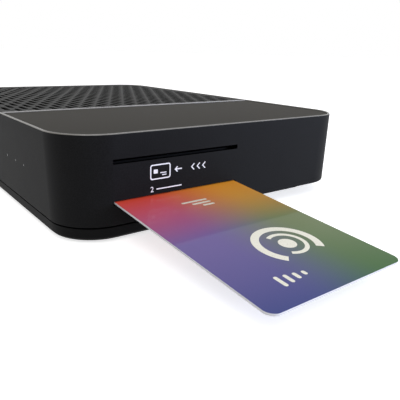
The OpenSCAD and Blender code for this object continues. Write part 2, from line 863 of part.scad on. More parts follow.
module hdmi_socket() color("#b4b6b8") {
    socket_shell(hdmi_x, deck_z + 3, 15, 5.8, 12, 0.4, 10.5);
    for (x = [-6.5, 6.5]) block([hdmi_x + x - 0.8, socket_y - 8, deck_z],
        [hdmi_x + x + 0.8, socket_y - 6.4, deck_z + 0.3]);
}

module hdmi_tongue() color("#1c1c1d") {
    block([hdmi_x - 5.8, socket_y - 10.5, deck_z + 2.6], [hdmi_x + 5.8, socket_y - 1.5, deck_z + 3.9]);
}

module network_socket() color("#b9bbbd") {
    difference() {
        block([network_x - 8, socket_y - 21, deck_z], [network_x + 8, socket_y, deck_z + 13.4]);
        block([network_x - 5.9, socket_y - 13.5, deck_z + 4.4],
            [network_x + 5.9, socket_y + cut, deck_z + 11.6]);
        block([network_x - 3, socket_y - 10, deck_z + 2.2], [network_x + 3, socket_y + cut, deck_z + 4.5]);
    }
}

module network_contacts() color("#d2ab4e") {
    for (i = [0 : 7]) block([network_x - 4.2 + 1.1 * i, socket_y - 13.5, deck_z + 11.1],
        [network_x - 3.7 + 1.1 * i, socket_y - 5, deck_z + 11.6]);
}

module usb_socket() color("#b4b6b8") {
    socket_shell(usb_x, deck_z + 4, 13.4, 5.9, 14, 0.4, 12.5);
    for (x = [-5.6, 5.6]) block([usb_x + x - 1, socket_y - 10, deck_z],
        [usb_x + x + 1, socket_y - 8.4, deck_z + 1.05]);
}

module usb_tongue() color("#1c1c1d") {
    block([usb_x - 5.5, socket_y - 12.5, deck_z + 4.3], [usb_x + 5.5, socket_y - 3, deck_z + 6.2]);
}

module digital_audio_socket() color("#d08a3a") {
    difference() {
        union() {
            block([audio_x - 5, rear_in - 12.1, deck_z], [audio_x + 5, rear_in - 0.1, deck_z + 12.4]);
            rod_y(audio_x, audio_z, rear_in - 0.1, rear_out, audio_root_r);
            rod_y(audio_x, audio_z, rear_out, audio_end, audio_r);
        }
        rod_y(audio_x, audio_z, audio_end - 9, audio_end + cut, 1.65);
    }
}

module av_jack() color("#d9c23e") {
    difference() {
        union() {
            block([av_x - 3.8, rear_in - 14.1, deck_z], [av_x + 3.8, rear_in - 0.1, deck_z + 8]);
            rod_y(av_x, av_z, rear_in - 0.1, rear_out + 1.2, 3.4);
        }
        rod_y(av_x, av_z, rear_out + 1.2 - 14, rear_out + 1.2 + cut, av_r);
    }
}

module power_inlet() color("#18181a") {
    difference() {
        union() {
            block([inlet_x - 4.5, rear_in - 13.6, deck_z], [inlet_x + 4.5, rear_in - 0.1, deck_z + 11]);
            rod_y(inlet_x, inlet_z, rear_in - 0.1, socket_y, 4.4);
        }
        rod_y(inlet_x, inlet_z, socket_y - 10, socket_y + cut, inlet_r);
    }
}

module power_inlet_pin() color(steel) {
    rod_y(inlet_x, inlet_z, socket_y - 10, socket_y - 1.2, inlet_pin_r);
}

// Switch housing with a bezel outside the panel and a pocket for the rocker
module power_switch() color("#1b1b1d") {
    translate([rocker_x, 0, rocker_z]) difference() {
        union() {
            block([-6.8, rear_out - 13, -4.3], [6.8, rear_out, 4.3]);
            block([-7.6, rear_out, -5.2], [7.6, rear_out + 1.4, 5.2]);
        }
        block([-6.2, rocker_y - 4.4, -3.5], [6.2, rear_out + 2 * cut, 3.5]);
        translate([0, rocker_y, -3.95]) cylinder(7.9, rocker_hole_r, rocker_hole_r);
    }
}

// The rocker, resting on one of its two positions, with its pivot pins
module power_rocker() color("#2a2a2d") {
    translate([rocker_x, rocker_y, rocker_z]) rotate([0, 0, -rocker_tilt]) {
        translate([0, 0, -3.2]) linear_extrude(6.4)
            polygon([[-5.3, 4.6], [0, 3.5], [5.3, 4.6], [5.3, 2], [2.2, -3], [-2.2, -3], [-5.3, 2]]);
        translate([0, 0, -3.85]) cylinder(7.7, rocker_pin_r, rocker_pin_r);
    }
}

top_shell();
smooth_panel();
vent_grille();
divider_strip();
base_tray();
rear_panel();
rubber_feet();
case_screws();
smart_card();
card_chip();
lower_reader_bed();
lower_reader_cover();
lower_reader_contacts();
reader_screws();
upper_reader_bed();
upper_reader_cover();
upper_reader_contacts();
upper_reader_board();
reader_spacers();
reader_board_screws();
link_socket();
link_pins();
standby_button();
switch_plunger();
standby_switch();
infrared_window();
infrared_receiver();
light_guide();
indicator_lamps();
front_board();
cable_sockets();
front_flat_cable();
main_board();
board_screws();
main_processor();
thermal_pad();
heatsink();
memory_chips();
capacitors();
inductors();
regulators();
crystal();
tuner_can();
tuner_lid();
aerial_connectors();
aerial_insulators();
connector_washers();
connector_nuts();
hdmi_socket();
hdmi_tongue();
network_socket();
network_contacts();
usb_socket();
usb_tongue();
digital_audio_socket();
av_jack();
power_inlet();
power_inlet_pin();
power_switch();
power_rocker();
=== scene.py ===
import bmesh
import bpy
import json
import math
from mathutils import Matrix, Vector


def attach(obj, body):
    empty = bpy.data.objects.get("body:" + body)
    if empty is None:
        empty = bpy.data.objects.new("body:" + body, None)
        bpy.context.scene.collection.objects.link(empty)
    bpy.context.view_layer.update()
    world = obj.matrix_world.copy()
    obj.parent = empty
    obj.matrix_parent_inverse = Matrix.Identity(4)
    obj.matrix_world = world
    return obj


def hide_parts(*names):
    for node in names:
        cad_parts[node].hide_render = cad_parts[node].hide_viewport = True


# A flat satellite tv receiver with a card standing half out of its lower slot.
# Shapes are worked out in millimetres and turned to metres as each piece is finished.
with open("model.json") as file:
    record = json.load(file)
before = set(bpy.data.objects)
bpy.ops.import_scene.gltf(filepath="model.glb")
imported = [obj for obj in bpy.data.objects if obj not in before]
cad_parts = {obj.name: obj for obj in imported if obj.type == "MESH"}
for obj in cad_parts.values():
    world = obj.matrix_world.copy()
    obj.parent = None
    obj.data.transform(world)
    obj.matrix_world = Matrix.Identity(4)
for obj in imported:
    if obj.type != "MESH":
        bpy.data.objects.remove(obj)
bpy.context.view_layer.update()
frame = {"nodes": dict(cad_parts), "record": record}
print("frame loaded:", len(frame["nodes"]), "parts")

perMetre = 1000
fullTurn = 2 * math.pi
mergeDist = 0.0005  # points closer than this are one
record = frame["record"]
scene = bpy.context.scene

# Sizes that several pieces share
case = {
    "width": 205, "depth": 140, "corner": 18, "rimZ": 38.4, "shellZ": 6.1, "seatZ": 36.0, "ledgeZ": 34.4,
    "draft": math.radians(1), "wall": 2.4, "rim": 1.1, "gap": 0.35, "dividerX": 32.5, "rearGap": 0.25,
}
case["lean"] = (case["rimZ"] - case["shellZ"]) * math.tan(case["draft"])
case["caveInset"] = case["lean"] + case["wall"]
case["rearY"] = case["depth"] / 2 - case["caveInset"] - case["rearGap"]  # outer face of the rear panel
slots = {"y": -25.6, "width": 54.8, "height": 1.5, "lowerZ": 14.26, "upperZ": 28.8,
         "tilt": math.radians(4.85)}


# ---- small helpers for meshes

def sideX(z):
    # X of the card side's outer face at a height
    return case["width"] / 2 - (case["rimZ"] - z) * math.tan(case["draft"])


def faceFrame(origin, outward, up=(0, 0, 1)):
    # local Z points out of a face, local Y up it
    z = Vector(outward).normalized()
    x = Vector(up).cross(z).normalized()
    y = z.cross(x)
    matrix = Matrix((x, y, z)).transposed().to_4x4()
    matrix.translation = origin
    return matrix


def cardSide(y, z):
    return faceFrame((sideX(z), y, z), (1, 0, -math.tan(case["draft"])))


def frontFace(x, z):
    y = -case["depth"] / 2 + (case["rimZ"] - z) * math.tan(case["draft"])
    return faceFrame((x, y, z), (0, -1, -math.tan(case["draft"])))


def rearFace(x, z, y):
    return faceFrame((x, y, z), (0, 1, 0))


def slotFrame(z, tilt):
    return faceFrame((sideX(z), slots["y"], z), (math.cos(tilt), 0, -math.sin(tilt)))


def vertsIn(geom):
    return [g for g in geom if isinstance(g, bmesh.types.BMVert)]


def edgesIn(geom):
    return [g for g in geom if isinstance(g, bmesh.types.BMEdge)]


def everything(bm):
    return bm.verts[:] + bm.edges[:] + bm.faces[:]


def closeUp(bm):
    # merges doubles, caps what is open and turns the faces outwards
    bmesh.ops.remove_doubles(bm, verts=bm.verts, dist=mergeDist)
    openEdges = [e for e in bm.edges if len(e.link_faces) == 1]
    bmesh.ops.holes_fill(bm, edges=openEdges, sides=0)
    bmesh.ops.recalc_face_normals(bm, faces=bm.faces)
    return bm


def box(low, high):
    bm = bmesh.new()
    bmesh.ops.create_cube(bm, size=1)
    bmesh.ops.scale(bm, vec=Vector(high) - Vector(low), verts=bm.verts)
    bmesh.ops.translate(bm, vec=(Vector(low) + Vector(high)) / 2, verts=bm.verts)
    return bm


def soften(bm, edges, radius, segments):
    bmesh.ops.bevel(bm, geom=edges, offset=radius, offset_type="OFFSET", segments=segments, profile=0.5,
                    affect="EDGES", clamp_overlap=True, material=-1)
    return bm


def upright(mid, way):
    return abs(way.z) > 0.9


def lyingFlat(mid, way):
    return abs(way.z) < 0.1


def foreAndAft(mid, way):
    return abs(way.y) > 0.9


def roundOff(bm, radius, test, segments=3):
    # softens the edges that pass a test on their middle and direction
    chosen = [e for e in bm.edges
              if test((e.verts[0].co + e.verts[1].co) / 2, (e.verts[1].co - e.verts[0].co).normalized())]
    return soften(bm, chosen, radius, segments)


def sharpEdges(bm, radius, angle=math.radians(40)):
    # softens every edge that is sharper than an angle
    chosen = [e for e in bm.edges if len(e.link_faces) == 2 and e.calc_face_angle(0) > angle]
    return soften(bm, chosen, radius, 2)


def sectionLine(bm, points, closed=False, segments=4):
    # a section in the XZ plane from (distance, height) points; a third number rounds that corner
    line = [bm.verts.new((point[0], 0, point[1])) for point in points]
    pairs = list(zip(line, line[1:])) + ([(line[-1], line[0])] if closed else [])
    for pair in pairs:
        bm.edges.new(pair)
    for vert, point in zip(line, points):
        if len(point) > 2:
            bmesh.ops.bevel(bm, geom=[vert], offset=point[2], offset_type="OFFSET", segments=segments,
                            profile=0.5, affect="VERTICES", material=-1)
    return bm.verts[:] + bm.edges[:]


def lathe(points, steps=48, segments=4, hollow=False, place=None):
    # a turned piece round the Z axis, or a ring where the section is closed
    bm = bmesh.new()
    bmesh.ops.spin(bm, geom=sectionLine(bm, points, hollow, segments), cent=(0, 0, 0), axis=(0, 0, 1),
                   angle=fullTurn, steps=steps, use_merge=True)
    closeUp(bm)
    if place:
        bm.transform(place)
    return bm


def carried(bm, edges, vec):
    # extrudes edges along a vector and returns what that made
    swept = bmesh.ops.extrude_edge_only(bm, edges=edges)["geom"]
    bmesh.ops.translate(bm, vec=vec, verts=vertsIn(swept))
    return swept


def ringSweep(points, width, depth, corner, steps=22, segments=4):
    # carries a closed section of (inset, height) points round a rectangle with rounded corners
    bm = bmesh.new()
    section = [(width / 2 - point[0], *point[1:]) for point in points]
    swept = carried(bm, edgesIn(sectionLine(bm, section, closed=True, segments=segments)),
                    (0, depth / 2 - corner, 0))
    swept = bmesh.ops.spin(bm, geom=vertsIn(swept) + edgesIn(swept), angle=math.pi / 2, steps=steps,
                           cent=(width / 2 - corner, depth / 2 - corner, 0), axis=(0, 0, 1),
                           use_merge=False)["geom_last"]
    carried(bm, edgesIn(swept), (corner - width / 2, 0, 0))
    for axis in "XY":
        bmesh.ops.mirror(bm, geom=everything(bm), matrix=Matrix.Identity(4), merge_dist=0.001, axis=axis)
    return closeUp(bm)


def panelPlate(low, high, radius, rounded, edge):
    # a plate whose upright corners are rounded where a test says so, with a softened upper edge
    bm = box(low, high)
    roundOff(bm, radius, lambda mid, way: upright(mid, way) and rounded(mid), 20)
    return roundOff(bm, edge, lambda mid, way: lyingFlat(mid, way) and mid.z > high[2] - 0.001, 3)


def loft(levels, sides=4):
    # a closed form through (width, height, z) levels, rectangular or round
    bm = bmesh.new()
    radius = 0.5 if sides > 4 else math.sqrt(0.5)  # a square's corners lie further out than its sides
    bmesh.ops.create_circle(bm, cap_ends=False, segments=sides, radius=radius,
                            matrix=Matrix.Rotation(math.pi / 4, 4, "Z"))
    bmesh.ops.scale(bm, vec=(levels[0][0], levels[0][1], 1), verts=bm.verts)
    bmesh.ops.translate(bm, vec=(0, 0, levels[0][2]), verts=bm.verts)
    edges = bm.edges[:]
    for before, after in zip(levels, levels[1:]):
        swept = carried(bm, edges, (0, 0, after[2] - before[2]))
        bmesh.ops.scale(bm, vec=(after[0] / before[0], after[1] / before[1], 1), verts=vertsIn(swept))
        edges = [e for e in edgesIn(swept) if len(e.link_faces) == 1]
    return closeUp(bm)


def mouthCutter(matrix, width, height, depth, lip, sides=4, relief=0):
    # a cutter for a hole that opens out in a small chamfer where it meets the surface, and again behind
    levels = [(relief, -depth), (relief, -0.8), (0, -0.5), (0, -lip), (lip, 0), (lip, 2)]
    bm = loft([(width + 2 * more, height + 2 * more, z) for more, z in levels], sides)
    bm.transform(matrix)
    return bm


def inked(bm, index):
    for face in bm.faces:
        face.material_index = index
    return bm


def joined(*meshes):
    # puts several bmeshes in one
    whole = bmesh.new()
    for bm in meshes:
        held = bpy.data.meshes.new("held")
        bm.to_mesh(held)
        whole.from_mesh(held)
        bpy.data.meshes.remove(held)
        bm.free()
    return whole


def printed(bm, marks, index):
    # a piece with marks on it, in one of its further materials
    return joined(bm, *[inked(mark, index) for mark in marks])


def looseObject(bm):
    mesh = bpy.data.meshes.new("loose")
    bm.to_mesh(mesh)
    bm.free()
    thing = bpy.data.objects.new("loose", mesh)
    scene.collection.objects.link(thing)
    return thing


def boolean(bm, tool, operation="DIFFERENCE"):
    # Blender's boolean on two throwaway objects, taken back as a bmesh
    base = looseObject(bm)
    cutter = looseObject(tool)
    modifier = base.modifiers.new("cut", "BOOLEAN")
    modifier.operation = operation
    modifier.solver = "MANIFOLD"
    modifier.object = cutter
    bpy.context.view_layer.update()
    done = bpy.data.meshes.new_from_object(base.evaluated_get(bpy.context.evaluated_depsgraph_get()))
    result = bmesh.new()
    result.from_mesh(done)
    for thing in (base, cutter):
        mesh = thing.data
        bpy.data.objects.remove(thing)
        bpy.data.meshes.remove(mesh)
    bpy.data.meshes.remove(done)
    return result


def cadCopy(node):
    # a CAD part's mesh in millimetres, merged, with its flat faces whole again
    bm = bmesh.new()
    bm.from_mesh(frame["nodes"][node].data)
    bmesh.ops.scale(bm, vec=(perMetre,) * 3, verts=bm.verts)
    bmesh.ops.remove_doubles(bm, verts=bm.verts, dist=0.001)
    bmesh.ops.dissolve_limit(bm, angle_limit=math.radians(0.5), verts=bm.verts, edges=bm.edges)
    return bm


inkDeep = 0.04  # how far a printed mark reaches under the surface it lies on


def textMesh(words, size, matrix, thick):
    # generic figures as a mesh, centred on a face
    curve = bpy.data.curves.new("figures", "FONT")
    curve.body = words
    curve.size = size
    curve.align_x = "CENTER"
    curve.align_y = "CENTER"
    curve.extrude = (thick + inkDeep) / 2
    thing = bpy.data.objects.new("figures", curve)
    scene.collection.objects.link(thing)
    bpy.context.view_layer.update()
    mesh = bpy.data.meshes.new_from_object(thing.evaluated_get(bpy.context.evaluated_depsgraph_get()))
    bm = bmesh.new()
    bm.from_mesh(mesh)
    bmesh.ops.remove_doubles(bm, verts=bm.verts, dist=mergeDist)
    bm.transform(matrix @ Matrix.Translation((0, 0, (thick - inkDeep) / 2)))
    bpy.data.objects.remove(thing)
    bpy.data.curves.remove(curve)
    bpy.data.meshes.remove(mesh)
    return bm


def plateMark(matrix, x, y, width, height, thick, round=0, turn=0):
    # one flat printed mark, a rectangle that may have rounded corners
    bm = box((-width / 2, -height / 2, -inkDeep), (width / 2, height / 2, thick))
    if round:
        roundOff(bm, round, upright, 5)
    bm.transform(matrix @ Matrix.Translation((x, y, 0)) @ Matrix.Rotation(turn, 4, "Z"))
    return bm


def pointMark(matrix, x, y, reach, wide, thick, way=0, shaft=0):
    # a printed arrow head, with a shaft behind it where asked, in one outline; it points along X
    end = reach * math.sqrt(0.5)
    across = wide * math.sqrt(0.5)
    half = [(across - end, end), (-end, end - across)]
    if shaft:
        half += [(-across - wide / 2, wide / 2), (wide * 0.2 - shaft, wide / 2)]
    inner = [] if shaft else [(-across, 0)]
    outline = [(across, 0), *half, *inner, *[(along, -aside) for along, aside in reversed(half)]]
    bm = bmesh.new()
    carried(bm, edgesIn(sectionLine(bm, outline, closed=True)), (0, -thick - inkDeep, 0))
    closeUp(bm)
    bm.transform(matrix @ Matrix.Translation((x, y, -inkDeep)) @ Matrix.Rotation(way, 4, "Z")
                 @ Matrix.Rotation(-math.pi / 2, 4, "X"))
    return bm


def arcMark(matrix, x, y, inner, outer, start, sweep, thick, steps=24):
    # a printed arc, spun from its end
    bm = bmesh.new()
    bmesh.ops.create_grid(bm, x_segments=1, y_segments=1, size=0.5)
    bmesh.ops.scale(bm, vec=(outer - inner, thick + inkDeep, 1), verts=bm.verts)
    bmesh.ops.rotate(bm, cent=(0, 0, 0), matrix=Matrix.Rotation(math.pi / 2, 3, "X"), verts=bm.verts)
    bmesh.ops.translate(bm, vec=((inner + outer) / 2, 0, (thick - inkDeep) / 2), verts=bm.verts)
    bmesh.ops.rotate(bm, cent=(0, 0, 0), matrix=Matrix.Rotation(start, 3, "Z"), verts=bm.verts)
    bmesh.ops.delete(bm, geom=bm.faces[:], context="FACES_ONLY")
    bmesh.ops.spin(bm, geom=bm.verts[:] + bm.edges[:], cent=(0, 0, 0), axis=(0, 0, 1),
                   angle=sweep, steps=steps, use_merge=sweep == fullTurn)
    closeUp(bm)
    bm.transform(matrix @ Matrix.Translation((x, y, 0)))
    return bm


def finish(name, bm, body, slot, node, *extra):
    # makes the piece in metres, at the origin, hangs it under its body and hides the CAD part it stands
    # for
    bmesh.ops.dissolve_degenerate(bm, dist=0.0008, edges=bm.edges)
    bmesh.ops.scale(bm, vec=(1 / perMetre,) * 3, verts=bm.verts)
    mesh = bpy.data.meshes.new(name)
    bm.to_mesh(mesh)
    bm.free()
    for material in (finishes[slot], *extra):
        mesh.materials.append(material)
    mesh.shade_smooth()
    mesh.set_sharp_from_angle(angle=math.radians(32))
    piece = bpy.data.objects.new(name, mesh)
    scene.collection.objects.link(piece)
    weighted = piece.modifiers.new("Weighted normals", "WEIGHTED_NORMAL")
    weighted.keep_sharp = True
    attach(piece, body)
    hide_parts(node)


# ---- materials

def hexToLinear(code):
    # an sRGB hex colour as linear RGBA
    values = [int(code[i:i + 2], 16) / 255 for i in (1, 3, 5)]
    return (*[v / 12.92 if v <= 0.04045 else ((v + 0.055) / 1.055) ** 2.4 for v in values], 1)


def addNode(tree, kind, inputs=None, stops=None, **settings):
    # one shader node with its settings, its sockets set or linked, and any colour stops
    node = tree.nodes.new("ShaderNode" + kind)
    for key, value in settings.items():
        setattr(node, key, value)
    for socket, value in (inputs or {}).items():
        if isinstance(value, bpy.types.NodeSocket):
            tree.links.new(value, node.inputs[socket])
        else:
            node.inputs[socket].default_value = value
    for i, (place, code) in enumerate(stops or ()):
        stop = node.color_ramp.elements[i] if i < 2 else node.color_ramp.elements.new(place)
        stop.position = place
        stop.color = hexToLinear(code)
    return node


def newMaterial(name, **sockets):
    # a material with its shader's plain values set; returns it with what the patterns hang on
    material = bpy.data.materials.new(name)
    material.use_nodes = True
    tree = material.node_tree
    shader = tree.nodes["Principled BSDF"]
    for socket, value in sockets.items():
        shader.inputs[socket.replace("_", " ")].default_value = value
    place = addNode(tree, "TexCoord").outputs["Object"]
    return material, tree, shader, place


def grain(tree, place, size, detail=2, stretch=None):
    # noise whose features are about size millimetres across
    if stretch:
        place = addNode(tree, "Mapping", {"Vector": place, "Scale": stretch}).outputs[0]
    inputs = {"Vector": place, "Scale": perMetre / size, "Detail": detail}
    return addNode(tree, "TexNoise", inputs).outputs[0]


def linkUp(tree, shader, tone, rough, height, strength, depth, normal="Normal"):
    # links a colour and a roughness where there are any, and a bump whose depth is in millimetres
    for socket, node in (("Base Color", tone), ("Roughness", rough)):
        if node:
            tree.links.new(node.outputs[2 if node.type == "MIX" else 0], shader.inputs[socket])
    bump = addNode(tree, "Bump", {"Height": height, "Strength": strength, "Distance": depth / perMetre})
    tree.links.new(bump.outputs[0], shader.inputs[normal])


def mouldedPlastic(name, dark, light, rough, grainSize=0.35, grainDepth=0.012, specular=0.5, coat=0.0,
                   cloud=0.35):
    # injection moulded ABS: a spark-eroded grain breaks the highlight into a soft sheen
    material, tree, shader, place = newMaterial(name, Specular_IOR_Level=specular, Coat_Weight=coat,
                                                Coat_Roughness=0.12)
    fine = grain(tree, place, grainSize)
    broad = grain(tree, place, 14, 3)  # flow and handling marks, centimetres across
    mixed = addNode(tree, "Math", {0: broad, 1: cloud, 2: fine}, operation="MULTIPLY_ADD").outputs[0]
    middle = 0.5 + cloud / 2  # of the mixed noise's values
    toneReach = 0.175
    roughReach = 0.275
    tone = addNode(tree, "ValToRGB", {"Fac": mixed},
                   [(middle - toneReach, dark), (middle + toneReach, light)])
    spread = addNode(tree, "MapRange", {"Value": mixed, "From Min": middle - roughReach,
                                        "From Max": middle + roughReach, "To Min": rough - 0.05,
                                        "To Max": rough + 0.05})
    linkUp(tree, shader, tone, spread, fine, 0.6, grainDepth)
    return material


def workedMetal(name, dark, light, rough, streak=(1, 1, 1), size=0.6, depth=0.006):
    # metal with rolling or turning lines: the lines draw the highlight out across them
    material, tree, shader, place = newMaterial(name, Metallic=1.0)
    lines = grain(tree, place, size, 4, streak)
    tone = addNode(tree, "ValToRGB", {"Fac": grain(tree, place, 5)}, [(0.2, dark), (0.8, light)])
    spread = addNode(tree, "MapRange", {"Value": lines, "From Min": 0.3, "From Max": 0.7,
                                        "To Min": rough * 0.7, "To Max": rough * 1.3})
    linkUp(tree, shader, tone, spread, lines, 0.5, depth)
    return material


def solderMask():
    # glass-epoxy board under green solder mask: raised tracks catch the light, pads show tin
    material, tree, shader, place = newMaterial("Solder mask on glass epoxy", Specular_IOR_Level=0.5)
    tracks = addNode(tree, "TexBrick", {
        "Vector": place, "Scale": 160, "Mortar Size": 0.035, "Row Height": 0.3, "Brick Width": 1.7,
        "Color1": (0, 0, 0, 1), "Color2": (0.2, 0.2, 0.2, 1), "Mortar": (1, 1, 1, 1),
    }, offset=0.37)
    raised = tracks.outputs["Color"]
    vias = addNode(tree, "TexVoronoi", {"Vector": place, "Scale": 330})
    dots = addNode(tree, "Math", {0: vias.outputs["Distance"], 1: 0.16}, operation="LESS_THAN")
    mask = addNode(tree, "ValToRGB", {"Fac": raised}, [(0, "#0d3f22"), (1, "#1d6b3a")])
    tin = hexToLinear("#b9b49a")
    tone = addNode(tree, "Mix", {"Factor": dots.outputs[0], 6: mask.outputs[0], 7: tin}, data_type="RGBA")
    spread = addNode(tree, "MapRange", {"Value": grain(tree, place, 0.8), "To Min": 0.22, "To Max": 0.42})
    linkUp(tree, shader, tone, spread, raised, 0.6, 0.04)
    return material


def clearResin(name, code, rough, through):
    # polished acrylic: light passes, with faint flow lines that bend it
    material, tree, shader, place = newMaterial(name, IOR=1.49, Transmission_Weight=through,
                                                Base_Color=hexToLinear(code))
    flow = grain(tree, place, 2.5)
    spread = addNode(tree, "MapRange", {"Value": flow, "To Min": rough * 0.6, "To Max": rough * 1.4})
    linkUp(tree, shader, None, spread, flow, 0.3, 0.02)
    return material


def cardPrint():
    # offset print under a clear laminate: soft colours run into each other, with a fine paper-like dot
    material, tree, shader, place = newMaterial("Laminated card print", Coat_Weight=0.22,
                                                Coat_Roughness=0.03, Specular_IOR_Level=0.1,
                                                Roughness=0.35)
    parts = addNode(tree, "SeparateXYZ", {"Vector": place})
    cloud = addNode(tree, "TexNoise", {"Vector": place, "Scale": 22, "Detail": 1}).outputs[0]
    ways = []
    for socket, low, high in (("X", 0.1015, 0.177), ("Y", -0.0526, 0.0014)):  # the card's ends, in metres
        along = addNode(tree, "MapRange", {"Value": parts.outputs[socket], "From Min": low,
                                           "From Max": high})
        bent = addNode(tree, "Math", {0: cloud, 1: 0.16, 2: along.outputs[0]}, operation="MULTIPLY_ADD")
        ways.append(addNode(tree, "Math", {0: bent.outputs[0], 1: 0.08}, operation="SUBTRACT").outputs[0])
    front = [(0.0, "#de4a2c"), (1.0, "#363f7a"), (0.5, "#6a5a92")]
    rear = [(0.0, "#e6962e"), (1.0, "#2f5c26"), (0.5, "#6c7850")]
    sides = [addNode(tree, "ValToRGB", {"Fac": ways[0]}, stops).outputs[0] for stops in (front, rear)]
    across = addNode(tree, "MapRange", {"Value": ways[1], "From Min": 0.22, "From Max": 0.86},
                     interpolation_type="SMOOTHSTEP")
    tone = addNode(tree, "Mix", {"Factor": across.outputs[0], 6: sides[0], 7: sides[1]}, data_type="RGBA")
    screen = grain(tree, place, 0.25, 1)  # a print screen is 0.15 mm; a little coarser, so that it shows
    dot = addNode(tree, "MapRange", {"Value": screen, "To Min": 0.93, "To Max": 1.07})
    shade = addNode(tree, "HueSaturation", {"Value": dot.outputs[0], "Color": tone.outputs[2]})
    linkUp(tree, shader, shade, None, grain(tree, place, 9, 1), 0.25, 0.04, "Coat Normal")
    return material


plastics = {  # two tones, roughness, grain width and depth in mm, specular, coat, weight of broad marks
    "shell_plastic": ("ABS moulded, spark-eroded", "#09090a", "#131314", 0.6, 0.4, 0.02, 0.07),
    # the panel's warm grey is a painted reflection: its gloss is turned almost off and its base colour
    # lightened to stand in for the bright surroundings it mirrors
    "panel_plastic": ("ABS moulded, panel with painted sheen", "#1f1d19", "#322f29", 0.47, 0.7, 0.016, 0.016, 0, 0.08),
    "grille_plastic": ("ABS moulded, vent grille", "#131313", "#181817", 0.45, 0.3, 0.008, 0.03),
    # the bead's pale grey is a painted highlight, standing in for the glint along its rounded top
    "trim_plastic": ("ABS bead, painted highlight", "#8a8782", "#96938e", 0.28, 0.5, 0.003, 0.3),
    "base_plastic": ("ABS moulded, matt base", "#0b0b0b", "#0f0f10", 0.6, 0.5, 0.025, 0.06),
    "rear_plastic": ("ABS moulded, rear panel", "#101011", "#151516", 0.55, 0.4, 0.02, 0.15),
    "foot_rubber": ("Rubber, matt moulded", "#101010", "#181818", 0.85, 0.6, 0.03, 0.3),
    # black nylon, taken darker than its own colour as painted shade where it lies deep behind the slots
    "reader_plastic": ("Nylon moulded, black, darkened as painted shade", "#060607", "#0b0b0c", 0.5, 0.25, 0.01, 0.06),
    "button_plastic": ("ABS moulded, satin button", "#1d1d1e", "#242424", 0.36, 0.25, 0.006),
    "plunger_plastic": ("Acetal, natural", "#cfcabb", "#dcd8cb", 0.4, 0.3, 0.006),
    "chip_resin": ("Epoxy chip package", "#17181a", "#1f2022", 0.62, 0.15, 0.01),
    "pale_plastic": ("Nylon moulded, natural", "#c9c4b2", "#d8d4c4", 0.45, 0.3, 0.008),
    "pad_rubber": ("Silicone thermal pad", "#7288a0", "#8298ad", 0.7, 0.5, 0.02),
    "capacitor_sleeve": ("PVC sleeve, heat shrunk", "#18213b", "#263252", 0.32, 1.2, 0.004, 0.5),
    "audio_plastic": ("Polyester moulded, orange", "#b4551c", "#c8641f", 0.38, 0.3, 0.006),
    "av_plastic": ("Polyester moulded, yellow", "#c9a51d", "#d8b52a", 0.38, 0.3, 0.006),
    "socket_plastic": ("Nylon moulded, socket black", "#131314", "#1a1a1b", 0.45, 0.25, 0.01),
    "rocker_plastic": ("ABS moulded, rocker", "#17171a", "#202023", 0.3, 0.3, 0.004),
}
metals = {  # two tones, roughness, how far the lines are drawn out, their width and depth in mm
    "screw_steel": ("Zinc plated steel", "#9a9ca0", "#b4b6b9", 0.3, (1, 1, 5)),
    "contact_gold": ("Gold flashed contact", "#c9a24a", "#dcb862", 0.22, (1, 6, 1), 0.3, 0.003),
    "sheet_steel": ("Tin plated sheet, rolled", "#a9abad", "#c3c5c6", 0.28, (1, 9, 1)),
    "spacer_brass": ("Brass, turned", "#b08d42", "#c9a655", 0.25, (1, 1, 8), 0.4),
    "black_aluminium": ("Aluminium, black anodised", "#26272a", "#303135", 0.38, (1, 7, 1)),
    "crystal_steel": ("Nickel silver can, drawn", "#b5b7b9", "#cbcccc", 0.2),
    "connector_nickel": ("Nickel plated brass", "#aaa79e", "#c4c1b8", 0.2, (1, 8, 1), 0.5, 0.004),
}
resins = {  # colour, roughness, how much light passes
    "window_plastic": ("Acrylic, dark red tint", "#1c0507", 0.06, 0.35),
    "clear_guide": ("Acrylic, clear", "#44474a", 0.08, 0.7),
    "lamp_resin": ("Lamp resin, milky", "#d9d5bd", 0.25, 0.4),
}
finishes = {slot: mouldedPlastic(*look) for slot, look in plastics.items()}
finishes.update({slot: workedMetal(*look) for slot, look in metals.items()})
finishes.update({slot: clearResin(*look) for slot, look in resins.items()})
finishes["card_plastic"] = cardPrint()
finishes["circuit_board"] = solderMask()
for part in record["subparts"]:
    frame["nodes"][part["node"]].material_slots[0].material = finishes[part["material_slot"]]
# the rim's pale grey is a painted highlight: it stands in for the glint along the shell's rounded rim
rimHighlight = mouldedPlastic("ABS edge, painted highlight", "#67655f", "#716e69", 0.24, 0.6, 0.003, 0.5)
whiteInk = mouldedPlastic("Pad printed ink, white", "#dddfe4", "#e8eaee", 0.5, 0.2, 0.004, 0.4)
# near black painted shade for the slots' inner walls and lip chamfers, darker than the shell's own
# plastic
slotShade = mouldedPlastic("ABS inside the slots, painted shade", "#020202", "#040404", 0.8, 0.5, 0.02, 0.0)
creamInk = mouldedPlastic("Card ink, cream", "#e0dcc9", "#eae6d4", 0.3, 0.3, 0.002, 0.5, 0.8)
cardCore = mouldedPlastic("PVC card core, white", "#c9c8cc", "#d8d7da", 0.4, 0.3, 0.004)
print("materials made:", len(finishes))


# ---- camera, light and floor

